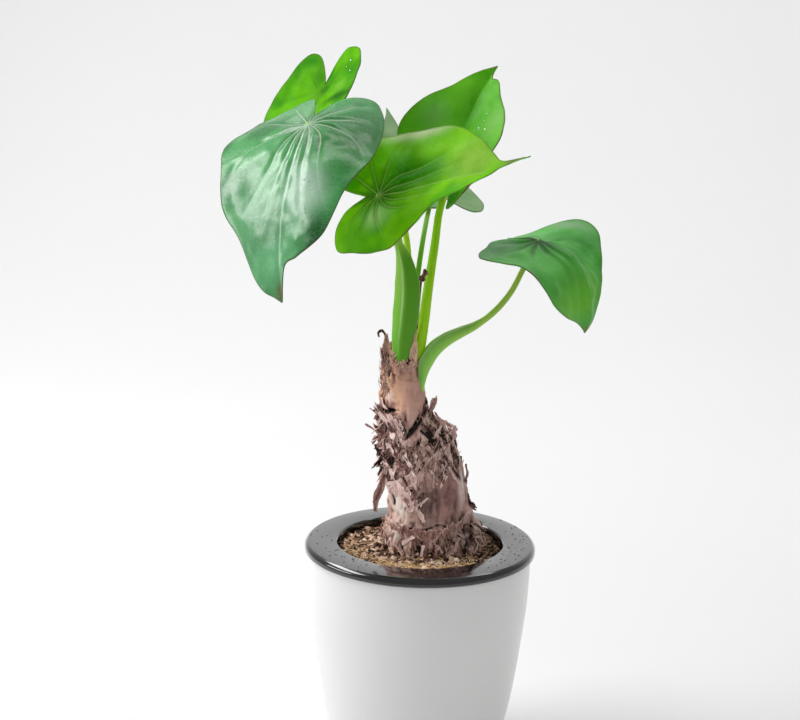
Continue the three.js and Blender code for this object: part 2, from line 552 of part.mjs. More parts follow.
// The black inner pot: a flat flange that rests on the white pot's rim, and a tapered
// cup under it, with slots and a wick hole in its floor
function linerGeometry() {
  const under = POT_HEIGHT - FLANGE_THICKNESS;
  const floor = LINER_FLOOR + LINER_WALL;
  const profile = [[0, LINER_FLOOR], [LINER_FOOT_RADIUS, LINER_FLOOR], [MOUTH_RADIUS + LINER_WALL, under],
    [RIM_RADIUS - 1.5, under], [RIM_RADIUS, under + 1.5], [RIM_RADIUS, POT_HEIGHT - 2.2],
    [RIM_RADIUS - 0.7, POT_HEIGHT - 0.7], [RIM_RADIUS - 2.2, POT_HEIGHT], [MOUTH_RADIUS + 1, POT_HEIGHT],
    [MOUTH_RADIUS, POT_HEIGHT - 1], [MOUTH_RADIUS, POT_HEIGHT - 3],
    [LINER_FOOT_RADIUS - LINER_WALL, floor], [0, floor]];
  let liner = solidOf(turned(profile));
  const slot = new THREE.BoxGeometry(SLOT_SIZE[0], SLOT_SIZE[1], 4 * LINER_WALL);
  slot.translate(SLOT_RING, 0, LINER_FLOOR + LINER_WALL / 2);
  for (let i = 0; i < SLOT_COUNT; i++) {
    liner = liner.subtract(solidOf(slot));
    slot.rotateZ(2 * Math.PI / SLOT_COUNT);
  }
  const hole = new THREE.CylinderGeometry(WICK_RADIUS + GAP, WICK_RADIUS + GAP, 4 * LINER_WALL, 16);
  hole.rotateX(Math.PI / 2);
  hole.translate(0, 0, LINER_FLOOR + LINER_WALL / 2);
  return geometryOf(liner.subtract(solidOf(hole)));
}

// The cotton wick that draws water up from the white pot into the soil
function wickGeometry() {
  const bottom = WALL + 0.5 + GAP;
  const wick = new THREE.CylinderGeometry(WICK_RADIUS, WICK_RADIUS, WICK_TOP - bottom, 12);
  wick.rotateX(Math.PI / 2);
  wick.translate(0, 0, (WICK_TOP + bottom) / 2);
  return geometryOf(solidOf(wick));
}

function addPiece(group, name, geometry, color, roughness) {
  const mesh = new THREE.Mesh(geometry, new THREE.MeshStandardMaterial({ color, roughness, metalness: 0 }));
  mesh.name = name;
  group.add(mesh);
}

const plant = new THREE.Group();
addPiece(plant, 'outer_pot', potGeometry(), 0xf2f2f2, 0.25);
addPiece(plant, 'inner_pot', linerGeometry(), 0x1d1d20, 0.2);
addPiece(plant, 'wick', wickGeometry(), 0xe6e0d0, 0.95);
addPiece(plant, 'soil', soilGeometry(), 0x4a3626, 1);
addPiece(plant, 'stem', stemGeometry(), 0x8a6a58, 0.85);
for (const leaf of LEAVES) addPiece(plant, leaf.name, leafGeometry(leaf), leaf.color, 0.35);

export default plant;
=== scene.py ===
"""Looks of a potted giant taro: glossy heart-shaped leaves on an old husky stem, in a
white self-watering pot with a black inner pot.

The frame is in metres, and the tables here are in mm, with +Z up and the front at -Y."""

import math
from functools import partial

import bpy
import numpy as np
from mathutils import Euler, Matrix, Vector


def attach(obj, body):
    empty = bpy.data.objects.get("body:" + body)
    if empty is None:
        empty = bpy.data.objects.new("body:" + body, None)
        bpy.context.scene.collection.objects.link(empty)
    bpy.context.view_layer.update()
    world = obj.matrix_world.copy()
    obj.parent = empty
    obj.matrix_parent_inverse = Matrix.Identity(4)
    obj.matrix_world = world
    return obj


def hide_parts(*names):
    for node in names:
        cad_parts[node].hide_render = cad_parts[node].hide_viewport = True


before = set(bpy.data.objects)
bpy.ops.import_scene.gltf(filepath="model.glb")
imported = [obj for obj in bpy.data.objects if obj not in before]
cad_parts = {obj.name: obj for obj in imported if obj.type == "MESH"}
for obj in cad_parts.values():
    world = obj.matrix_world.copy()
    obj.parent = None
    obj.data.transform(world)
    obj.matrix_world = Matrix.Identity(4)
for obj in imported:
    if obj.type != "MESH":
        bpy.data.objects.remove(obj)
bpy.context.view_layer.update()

bl_info = {
    "name": "Potted Giant Taro",
    "version": (1, 0, 0),
    "blender": (4, 5, 0),
    "location": "3D View > Sidebar > Taro",
    "description": "Finishes a potted giant taro: leaves, old stem, soil, self-watering pot",
    "category": "Object",
}

MM = 0.001
RAD = math.pi / 180

# The flat half margin of a blade from tip to sinus, in blade lengths: [across, along]
MARGIN = [
    [0.035, 0.93], [0.12, 0.815], [0.25, 0.66], [0.375, 0.46], [0.455, 0.235], [0.48, 0.03],
    [0.455, -0.155], [0.37, -0.3], [0.25, -0.365], [0.135, -0.335], [0.06, -0.225],
]
SINUS = [0, -0.09]
LOBE_SHARE = 0.36  # how much of a blade's length its lobes reach back
HALF_WIDTH = 0.48
TROUGH_REST = 0.35  # how far down the side of a trough its own level lies

# Sizes and places in mm
BLADE = 0.8  # thickness of a blade
CREASE_WIDTH = 4.2  # from a vein to the full height beside it
PUCKER_SIZE = 17  # width of a blade's soft bumps
RIPPLE_SIZE = 8  # width of the small waves near its margin
TONE_SIZE = 22  # of the light and dark places of a blade
HUSK = 0.45  # thickness of a scrap of husk
SHELL = 0.55  # thickness of an old leaf base
# The white pot's outside: [radius, z]
POT_OUTLINE = [[50, 0.2], [55, 1.5], [58.6, 6], [62.2, 20], [67, 43], [72, 78], [75.8, 112], [77, 145.6]]
FOOT_RADIUS = 46
POT_WALL = 2.5
POT_FLOOR = 3
MOULD_EDGE = 0.5  # width of the rounding of a moulded edge
AXIS_RING = 6  # radius of the circle that a pot is raised from
AXIS_POINT = 0.05  # radius of the last ring, which merges into a point
RIM = 80  # radius of the black pot's wide rim
RIM_TOP = 152
RIM_UNDER = 145.8
MOUTH = 57.2  # radius of its opening
CUP_FLOOR = 42  # height of its cup's underside
CUP_WALL = 2
SLOT_SIZE = (14, 3.2, 8)  # length, width and the height that is cut through
SLOT_RING = 26  # radius on which the slots lie
WICK_HOLE = 4.3  # radius of the hole for the wick
SOIL_LEVEL = 146
SOIL_REACH = 56.8  # radius of the soil inside the cup
CRUMB_REACH = 57  # radius over which crumbs are strewn
PALE_FROM = (-22, -40)  # over these y the soil turns paler
STRAW_FROM = (-26, -42)  # over these y its crumbs turn to straw
# painted shade: the soil turns darker towards the right, away from the light
SHADED_RIGHT_FROM = (22, 44)  # over these x the soil turns dark
STEM_FOOT = (9.4, 36, 32)  # centre x, half width x, half width y where the stem meets the soil
CROWN = 260  # above it, torn sheaths are paler than the husks below
SWELLING = (-7.5, 258)  # x and z of the bulge on the stem's front
SCAR = (-17.5, 244.5)  # x and z of the round scar below it
STEM_RINGS = ((168, 0.6), (271, 0.2))  # z and depth

# Counts and shares
POT_SIDES = 144
SLOTS = 6
BLADE_SPOKES = 240  # round the junction of blade and stalk
BLADE_RINGS = 66
STALK_STEPS = 150
STALK_SIDES = 36
CRUMBS = 2000
STRAWS = 620
RIM_SPECKS = 75
RIM_DROPS = 34
DROPS_A_SPOT = 11
CREASE_REACH = 0.24  # of a blade's length
CHIP_LEAN = 0.4  # in radians, how far crumbs tip over
THREAD_TAPER = 0.75  # how much thinner a thread is at its tip
STEM_BRIGHTER = 1.75  # what its colours below are multiplied by
NO_KEEL = (-1, 3)  # a stalk whose halves are alike
ANY_WAY = (0.31, 0.2, 0.93)  # lies along no thread

# Veins of a blade
FIRST_VEIN = 30 * RAD  # the way the first side vein leaves the junction, from the midrib
VEIN_STEP = 28 * RAD  # between side veins at the junction
VEIN_SWEEP = 2.0  # how strongly the side veins then bend towards the tip
SWEEP_REACH = 0.25  # the distance, in blade lengths, over which they bend
SWEEP_SPAN = 50 * RAD  # veins that leave further round than this keep their way

# The stage, in mm, and the camera, in metres and degrees
FLOOR_WIDTH = 7000
FLOOR_DEPTH = 3000
FLOOR_FRONT = 1900  # in front of the plant
BEND = 900  # radius of the bend from the floor to the wall
BACKDROP_RUN = 6200  # along the floor, the bend and the wall
LENS = 90
CAMERA_PLACE = (-0.01674, -1.32089, 0.59910)
CAMERA_DOWN = 13.557  # how far it looks down
CAMERA_ROLL = 1.3

# One entry a leaf, in the same terms as the solids: where the stalk meets the blade, how
# the blade leans, droops, folds, cups and twists, its margin, wave, stalk and sections
LEAVES = {
    "leaf_front_left": dict(
        junction=[-79, -40, 443.8], length=127.7, width=0.91, heading=-109.5, pitch=-28.6, roll=-17,
        droop=48.7, lobe_bend=13.7, fold=[-4.1, -7.2], cup=[3.7, -56.8], twist=-7.5, pinch=14.5, drip=0.03,
        right=[1.08, 1.14, 1.04, 1.07, 1.06, 1.15, 1.02, 0.95, 0.99, 1, 0.96],
        left=[0.92, 1, 1.07, 0.94, 0.93, 0.9, 0.89, 0.93, 0.98, 0.98, 1],
        wave=[1, 5, 0.6], facing=[-1, -0.4, 0.6],
        stalk=[[-14.2, 0, 268], [-14.4, 1, 298], [-15.1, 4, 328], [-18.5, 9, 358], [-25.5, 16, 380],
               [-38.5, 23, 402], [-54, 17, 419], [-67, -1, 433], [-75.5, -25, 441]],
        section=[[0, 2.5, 2.5, 0], [0.6, 2.2, 2.2, 0], [1, 1.8, 1.8, 0]],
    ),
    "leaf_back_left": dict(
        junction=[-74, 48, 454.1], length=94.5, width=0.86, heading=-114.4, pitch=-44.5, roll=-4.9,
        droop=-13.5, lobe_bend=-19.5, fold=[1.7, 28], cup=[-10.3, 0], twist=-0.8, pinch=-0.9, drip=0,
        right=[1, 1, 1, 1.01, 1.02, 0.95, 0.89, 0.89, 0.94, 0.98, 1.03],
        left=[1, 1, 1, 1, 1.01, 1.01, 1.04, 1.05, 0.99, 1.01, 1.03],
        wave=[0.8, 4, 2], facing=[-1, 0.3, 0.6],
        stalk=[[-12, 7, 268], [-11.5, 9, 298], [-12, 13, 337], [-14, 19, 359], [-20, 30, 382],
               [-31.5, 46, 408], [-49, 58, 431], [-66, 57, 447]],
        section=[[0, 2.4, 2.4, 0], [0.6, 2.2, 2.2, 0], [1, 1.7, 1.7, 0]],
    ),
    "leaf_front_centre": dict(
        junction=[-33.2, -24, 396.8], length=104.1, width=0.89, heading=-32.8, pitch=13.8, roll=-50.3,
        droop=-10.2, lobe_bend=0, fold=[-3.2, 2.7], cup=[-7.3, 13], twist=19.7, pinch=17.9, drip=0.2,
        right=[1.1, 1.08, 0.8, 0.88, 1.04, 0.97, 0.92, 1, 0.9, 0.82, 0.94],
        left=[1.05, 1.08, 1.14, 1.16, 1, 0.95, 1.02, 1, 1, 1.01, 1.03],
        wave=[1, 4, 1], facing=[0.2, 1, 0],
        stalk=[[-16.5, -8.5, 270], [-16.5, -11, 283], [-16, -13, 297], [-14.5, -14, 314],
               [-13.8, -13.5, 333], [-16, -12, 351], [-19.4, -11, 362], [-24, -12, 374], [-30, -18, 389]],
        section=[[0, 2.6, 2.6, 0], [0.1, 5.6, 2, 2], [0.2, 8.1, 1.5, 4.5], [0.34, 9.5, 1.1, 5.5],
                 [0.5, 9, 1.1, 5.5], [0.62, 6, 1.4, 3], [0.7, 3, 2.3, 0.4], [0.78, 2.3, 2.3, 0],
                 [1, 1.8, 1.8, 0]],
    ),
    "leaf_back_right": dict(
        junction=[16.2, 18, 407.2], length=80.2, width=1.06, heading=47.1, pitch=75.6, roll=10.5,
        droop=29.8, lobe_bend=-22.8, fold=[15.9, 24.6], cup=[0, 0], twist=-20.5, pinch=-1.9, drip=0,
        right=[0.94, 1.04, 1.05, 1.16, 1.26, 1.06, 0.99, 0.98, 1, 1, 1],
        left=[1.03, 1.05, 1.02, 1.12, 1.21, 1.04, 0.96, 0.99, 1, 1, 1],
        wave=[0.8, 4, 0], facing=[0, -1, 0],
        stalk=[[-7.8, -3, 268], [-6.2, -3, 277], [-3.4, -2.8, 291], [1.4, 2, 332.5], [4.9, 9, 358.7],
               [7.6, 17, 380], [11.8, 21, 394]],
        section=[[0, 3, 3, 0], [0.14, 3.7, 3.7, 0], [0.3, 3.7, 3.7, 0], [0.55, 3, 3, 0], [1, 2.1, 2.1, 0]],
    ),
    "leaf_right": dict(
        junction=[74.8, 0, 365.4], length=84.2, width=1.28, heading=-28.9, pitch=-3.1, roll=-8.8,
        droop=120.3, lobe_bend=0, fold=[-15.4, -30.2], cup=[22.5, 41.9], twist=-13.9, pinch=6.6, drip=0,
        right=[1.03, 1.06, 1.11, 1.12, 0.94, 0.91, 1.06, 1, 0.89, 1, 1.01],
        left=[1.04, 0.96, 0.9, 0.91, 1.04, 1.07, 1.02, 0.96, 1.01, 1.08, 1.03],
        wave=[0.8, 4, 3], facing=[-0.75, 0, 0.65],
        stalk=[[-2.6, -4.4, 252], [-1.8, -4.2, 262], [-0.4, -4, 272], [2.4, -3.6, 281], [8.2, -3, 289.4],
               [15.6, -1.5, 295.4], [24.4, 0, 300.2], [34.1, 1, 305.4], [47.4, 2, 316.4],
               [57.1, 3, 328.8], [64, 3, 343], [69.6, 2, 355.4]],
        section=[[0, 1.5, 1.5, 0], [0.08, 2.8, 1.4, 1.5], [0.14, 4.4, 1.2, 4.4], [0.2, 6, 1.1, 8],
                 [0.28, 6, 1.1, 7.6], [0.36, 5, 1.2, 6], [0.44, 3.6, 1.5, 3.6], [0.52, 2.4, 1.9, 0.8],
                 [0.58, 2.2, 2.2, 0], [1, 1.6, 1.6, 0]],
    ),
    "leaf_back": dict(
        junction=[4.3, 78, 388.2], length=86, width=0.88, heading=121.7, pitch=26.3, roll=-13.6,
        droop=-14.9, lobe_bend=0, fold=[-2.7, 0], cup=[8.7, -10], twist=-10.5, pinch=-10.5, drip=0,
        right=[1.02, 0.93, 0.98, 1, 1, 1.01, 1.03, 1.01, 1, 1, 1.01],
        left=[1, 1, 1, 1, 1, 1, 1, 1, 1, 1, 1],
        wave=[1, 5, 1.4], facing=[0, 1, 0.6],
        stalk=[[-9, 3, 268], [-8.6, 3.5, 297], [-7, 6.5, 328], [-4, 18, 353], [-0.4, 40, 372],
               [3, 63, 382.8]],
        section=[[0, 2, 2, 0], [0.5, 1.8, 1.8, 0], [1, 1.5, 1.5, 0]],
    ),
}

# Each leaf: its slot; the blade's dark and light tone, veins and underside; the stalk at foot
# and top; light let through; strength of the veins; roughness; mirroring; depth of the creases
# and puckers in mm. keel: where across the stalk its other half begins and ends, that half's
# colour, which on the front centre sheath is painted shade, and its margin's; ridge_highlight:
# strength of a painted highlight along the keel; fold: how sharply the sheath folds
LEAF_LOOKS = {
    "leaf_front_left": dict(slot="blue_green_leaf", deep="#14782E", light="#46A254", vein="#B9DDBB",
                            under="#8DB58C", stalk=("#98DA48", "#B8E044"), through=0.06, veins=0.7,
                            gloss=0.22, shine=0.5, crease=0.85, pucker=1.0),
    "leaf_back_left": dict(slot="yellow_green_leaf", deep="#3CA800", light="#7EDC08", vein="#A8E050",
                           under="#9CCB4E", stalk=("#C4EC3C", "#DCFA48"), through=0.4, veins=0.14,
                           gloss=0.42, shine=0.06, crease=0.25),
    "leaf_front_centre": dict(slot="bright_green_leaf", deep="#5CC400", light="#98EE00", vein="#C4F07C",
                              under="#93C453", stalk=("#4A9E08", "#B4E460"), through=0.34, veins=0.5,
                              gloss=0.36, shine=0.07, crease=0.7, pucker=1.2, fold=1.4,
                              keel=(0.14, -0.14, "#62A628", "#DCEEA4"), ridge_highlight=0.45),
    "leaf_back_right": dict(slot="mid_green_leaf", deep="#4CB800", light="#76D62A", vein="#9CDB6C",
                            under="#6FAE4E", stalk=("#C2F62A", "#98DC1C"), through=0.22, veins=0.1,
                            gloss=0.36, shine=0.14, crease=0.2),
    "leaf_right": dict(slot="dark_green_leaf", deep="#42AA36", light="#62CA50", vein="#9CC79A",
                       under="#7A9C7C", stalk=("#A8F46C", "#B4C446"), through=0.1, veins=0.04,
                       gloss=0.34, shine=0.25, crease=1.1, pucker=1.7, keel=(0.2, 1.2, "#76B84C", "#D8CDBE")),
    "leaf_back": dict(slot="grey_green_leaf", deep="#70AA60", light="#9CC08C", vein="#A8C7A4",
                      under="#8FAE84", stalk=("#82C62C", "#82C234"), through=0.2, veins=0.2,
                      gloss=0.5, shine=0.2, crease=0.2),
}

# Patches of colour on the blades, many of them painted light: most dark ones are painted shade
# and shadow, most pale ones painted highlights and reflections, and the brown tips the leaves'
# own: [across, along, size across, size along, colour, strength]
LIGHT_AND_TONE_PATCHES = {
    # leaf_front_left: the pale patches are painted highlights of the window, the dark ones painted shade
    "leaf_front_left": [
        [0.12, 0.55, 0.26, 0.34, "#7CB888", 0.6], [-0.14, 0.46, 0.11, 0.17, "#D4EEDC", 0.68],
        [0.11, 0.0, 0.06, 0.05, "#2A6E3C", 0.6], [0.04, 0.84, 0.14, 0.12, "#7CCB90", 0.7],
        [-0.3, 0.14, 0.16, 0.26, "#1E8020", 0.9], [-0.22, 0.72, 0.075, 0.13, "#0A5018", 0.9],
        [0.0, 0.02, 0.06, 0.08, "#B9DCB8", 0.8], [0.12, -0.12, 0.09, 0.1, "#8CC08C", 0.6],
        [-0.27, -0.02, 0.16, 0.2, "#127024", 0.85],
        [0.0, 0.98, 0.03, 0.05, "#7A6038", 0.8],
    ],
    # leaf_back_left: painted shade at the junction and a painted shadow line across one half
    "leaf_back_left": [
        [-0.03, -0.02, 0.06, 0.05, "#1F7A00", 0.8], [-0.27, 0.02, 0.08, 0.06, "#A4DC5A", 0.5],
        [-0.3, 0.13, 0.2, 0.035, "#1B6404", 0.8], [0.09, -0.2, 0.05, 0.12, "#3A9408", 0.5],
    ],
    # leaf_front_centre: painted shade in the valley by the junction, painted light on its lit parts and a
    # painted highlight along the upper edge
    "leaf_front_centre": [
        [-0.13, 0.16, 0.17, 0.18, "#289008", 0.95], [-0.13, 0.38, 0.12, 0.16, "#32980A", 0.9],
        [-0.12, 0.74, 0.2, 0.2, "#A4CE46", 0.75], [-0.38, 0.2, 0.12, 0.3, "#7CCC0C", 0.6],
        [0.19, 0.03, 0.09, 0.12, "#C4FF98", 0.75], [0.3, -0.15, 0.1, 0.12, "#84D820", 0.6],
        [0.17, 0.02, 0.07, 0.06, "#D4FFA0", 0.8], [-0.45, 0.24, 0.055, 0.26, "#EAF8C4", 0.95],
        [0.0, 1.12, 0.2, 0.13, "#6E5E4C", 1], [0.0, 0.02, 0.05, 0.06, "#1E6A08", 0.8],
    ],
    # leaf_back_right: painted highlights on both halves, painted shade down the midrib and a painted shadow
    # on the lower lobe
    "leaf_back_right": [
        [-0.28, 0.42, 0.13, 0.14, "#7CC25A", 0.8], [0.0, 0.5, 0.11, 0.3, "#3E9404", 0.7],
        [0.36, 0.42, 0.14, 0.2, "#8CCC66", 0.6], [0.15, -0.25, 0.2, 0.12, "#2E7C08", 0.8],
        [0.0, 0.99, 0.06, 0.04, "#80604A", 0.8],
    ],
    # leaf_right: a painted reflection of the pale wall along the far margin
    "leaf_right": [
        [-0.45, 0.0, 0.05, 0.2, "#AEBCAA", 0.55], [0.2, -0.22, 0.14, 0.12, "#8CA890", 0.6],
        [0.04, 0.05, 0.1, 0.1, "#4A8048", 0.5], [0.0, 0.98, 0.06, 0.06, "#8A7030", 0.7],
        [0.1, 0.55, 0.3, 0.25, "#5CB040", 0.6], [0.14, 0.68, 0.32, 0.2, "#7AD632", 0.85],
    ],
    "leaf_back": [],
}

# The stem's rings, bottom to top: [z, centre x, half width x, half width y]
STEM = [
    [97, 6, 7, 7], [103, 6, 17, 16], [116, 7, 26, 24], [132, 8, 31, 28], [146, 9.5, 35, 31.5],
    [153, 9.4, 36, 32], [160, 8.4, 34.8, 30.6], [165, 7.3, 33, 29.4], [171, 6, 30.6, 28.4],
    [177, 5.5, 29, 27.6], [183, 5, 28.2, 27.2], [189, 4.4, 27.6, 26.8], [195, 3.7, 27.3, 26.5],
    [201, 2.7, 27.2, 26.2], [207, 1.3, 27.2, 25.8], [213, 0, 26.8, 25.3], [219, -1.4, 26, 24.6],
    [225, -2.8, 25, 23.8], [231, -4.6, 23.2, 22.4], [236, -7.4, 20.6, 20.4], [241, -10.4, 18.4, 18.4],
    [246, -12.6, 17, 16.8], [252, -14.2, 15.8, 15.6], [258, -15.3, 15, 14.8], [264, -15.8, 14.5, 14.3],
    [270, -15.9, 14.2, 14], [276, -15.9, 13.9, 13.7], [281, -15.7, 13.5, 13.3], [285, -15.6, 12.6, 12.4],
    [286, -15.6, 10.4, 10.4],
]

# Torn remains with a place of their own: path from base to tip, half widths, flat side, tone
REMAINS = [
    ([[-24.5, -7, 276], [-25.6, -8, 286], [-26.2, -7.5, 293], [-26.2, -7, 299.5]], [4.2, 1.2],
     [0, -1, 0], 0.55),
    ([[-26.4, -7, 297], [-27.6, -7, 300.6], [-29.6, -7, 302.4], [-31.8, -7, 300.6], [-31.2, -7, 298]],
     [0.9, 0.7], [0, -1, 0], 0.05),
    ([[-25, -9, 276], [-27.4, -10, 284], [-28.6, -10.5, 288], [-29.4, -10.5, 291]], [3.4, 0.6],
     [-1, -2, 0], 0.25),
    ([[-9, -9, 276], [-7.8, -11.2, 286], [-7, -11.6, 296], [-6.4, -11, 304]], [3.4, 0.7], [0, -1, 0], 0.8),
    ([[-9.4, 0, 276], [-7.6, -4.2, 290], [-6, -5, 306], [-5, -4.8, 325], [-3.4, -5, 340]], [1.2, 0.7],
     [0, -1, 0], 0.2),
    ([[-4.2, -5, 336.5], [-3, -6.2, 339.5], [-1.6, -6, 342], [-0.6, -4.6, 343.4]], [2.3, 1.7],
     [0.4, -1, 0], 0.15),
    ([[0, -4, 240], [4.4, -4, 246], [5.8, -4, 250.5], [6.6, -4, 255]], [6, 3.4], [1, -0.4, 0], 0.4),
    ([[6, -5, 226], [10, -5.5, 232], [12, -6, 235.5], [13.6, -6, 239]], [5, 1.5], [1, -1.4, 0], 0.6),
    ([[16, -4, 223], [19.2, -4.6, 228.5], [20.4, -5, 232.5], [21.4, -5, 236.5]], [4.6, 1.6],
     [1, -1.4, 0], 0.7),
    ([[28, -5, 186], [32.5, -5, 182.6], [35, -5, 180.6], [38, -5, 178]], [4.2, 0.8], [0, -1, 0], 0.15),
    ([[-21, -8, 212], [-25.6, -9.4, 202], [-28, -10, 193], [-31, -10, 184.6], [-31.4, -10, 176]],
     [2.8, 1.8], [0, -1, 0], 0.5),
    ([[-22, -9, 209], [-27, -10, 198], [-29, -10.5, 190], [-32.6, -11, 183]], [1.6, 0.7], [0.4, -1, 0], 0.3),
]


# Small helpers


def linear(code, alpha=1.0):
    """An sRGB hex colour as linear light."""
    values = [int(code[i:i + 2], 16) / 255 for i in (1, 3, 5)]
    return [v / 12.92 if v <= 0.04045 else ((v + 0.055) / 1.055) ** 2.4 for v in values] + [alpha]


def vec(values):
    return np.array(values, float)


def unit(values):
    values = np.asarray(values, float)
    return values / np.maximum(np.linalg.norm(values, axis=-1, keepdims=True), 1e-12)


def smooth(low, high, values):
    """A soft step from 0 at low to 1 at high."""
    t = np.clip((values - low) / (high - low), 0, 1)
    return t * t * (3 - 2 * t)


def cloud(points, size, seed=0.0, octaves=1):
    """Soft random noise of a given size in mm at each point, about -1 to 1."""
    total, scale, weight = np.zeros(len(points)), 1.0, 1.0
    for _ in range(octaves):
        place = points * (scale / size) + vec([3.7, 1.3, 7.1]) * (seed + 11.3)
        cell = np.floor(place)
        part = place - cell
        part = part * part * (3 - 2 * part)
        cell = cell.astype(np.int64)
        for corner in np.ndindex(2, 2, 2):
            key = (cell + corner) @ np.array([73856093, 19349663, 83492791])
            key = (key ^ (key >> 13)) * 1274126177 % 2147483647
            key = (key ^ (key >> 9)) * 668265263 % 2147483647
            share = np.prod(np.where(corner, part, 1 - part), axis=1)
            total += weight * share * (key / 1073741823.5 - 1)
        scale, weight = scale * 2.1, weight * 0.5
    return total


def blend(low, high, share):
    """The colours from low to high, by a share at each point."""
    share = share[:, None]
    return vec(low) * (1 - share) + vec(high) * share


def rows_at(rows, t):
    """The columns of a table at t, which is its first column."""
    rows = vec(rows)
    return [np.interp(t, rows[:, 0], rows[:, k]) for k in range(1, rows.shape[1])]


def deselect():
    if bpy.context.mode != "OBJECT":
        bpy.ops.object.mode_set(mode="OBJECT")
    bpy.ops.object.select_all(action="DESELECT")


def work_on(obj):
    deselect()
    obj.select_set(True)
    bpy.context.view_layer.objects.active = obj


def edit(obj, *steps):
    """Run edit-mode steps on all of a mesh."""
    work_on(obj)
    bpy.ops.object.mode_set(mode="EDIT")
    for step in steps:
        bpy.ops.mesh.select_all(action="SELECT")
        step()
    bpy.ops.object.mode_set(mode="OBJECT")


def normals_out():
    bpy.ops.mesh.normals_make_consistent(inside=False)


def merge_doubles():
    bpy.ops.mesh.remove_doubles(threshold=1e-6)


def apply_all(obj):
    work_on(obj)
    for modifier in list(obj.modifiers):
        bpy.ops.object.modifier_apply(modifier=modifier.name)


def join(name, parts):
    deselect()
    for part in parts:
        part.select_set(True)
    bpy.context.view_layer.objects.active = parts[0]
    if len(parts) > 1:
        bpy.ops.object.join()
    parts[0].name = name
    return parts[0]


def keep_values(obj, kept):
    """Store one value, or a colour, a vertex on the mesh for its material."""
    for key, values in kept.items():
        values = np.asarray(values, np.float32)
        tinted = values.ndim == 2
        layer = obj.data.attributes.new(key, "FLOAT_COLOR" if tinted else "FLOAT", "POINT")
        layer.data.foreach_set("color" if tinted else "value", values.ravel())


def read_points(obj):
    co = np.zeros(len(obj.data.vertices) * 3)
    obj.data.vertices.foreach_get("co", co)
    return co.reshape(-1, 3)


def write_points(obj, points):
    obj.data.vertices.foreach_set("co", (points * MM).ravel())
    obj.data.update()


def sheet(name, columns, rows, place, closed=False, fill=False):
    """A plane grid whose vertices place(u, v) puts in mm: a bent blade or a rutted stem has
    no straight run that extrusion could follow. place gives the points and a dict of values
    to keep on them. closed joins the two sides, fill caps the open ends."""
    deselect()
    bpy.ops.mesh.primitive_grid_add(x_subdivisions=columns, y_subdivisions=rows, size=2)
    obj = bpy.context.object
    obj.name = name
    u, v = (read_points(obj)[:, :2].T + 1) / 2
    points, kept = place(u, v)
    write_points(obj, points)
    keep_values(obj, kept)
    if closed:
        edit(obj, merge_doubles)
        if fill:
            edit(obj, lambda: bpy.ops.mesh.fill_holes(sides=0))
        edit(obj, normals_out)
    return obj


def ball_model(subdivisions):
    """A ball of a few faces, as points and faces, copied for all crumbs or all drops."""
    deselect()
    bpy.ops.mesh.primitive_ico_sphere_add(subdivisions=subdivisions, radius=1)
    ball = bpy.context.object
    points = read_points(ball)
    faces = np.array([face.vertices[:] for face in ball.data.polygons])
    bpy.data.objects.remove(ball)
    return points, faces


def towards(heading, rise=0.0):
    """A level step of length 1 in a heading, or in many, with a rise."""
    return np.stack([np.cos(heading), np.sin(heading), rise + 0 * heading], -1)


def shade(obj, angle=None):
    work_on(obj)
    if angle is None:
        bpy.ops.object.shade_smooth()
    else:
        bpy.ops.object.shade_smooth_by_angle(angle=angle * RAD)


def finish_piece(obj, node_name, slot, material=None):
    """Give a piece its material, hide the CAD node that it replaces and attach it to the root body; slot is
    not used.
    """
    if material:
        obj.data.materials.clear()
        obj.data.materials.append(material)
    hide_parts(node_name)
    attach(obj, "root")


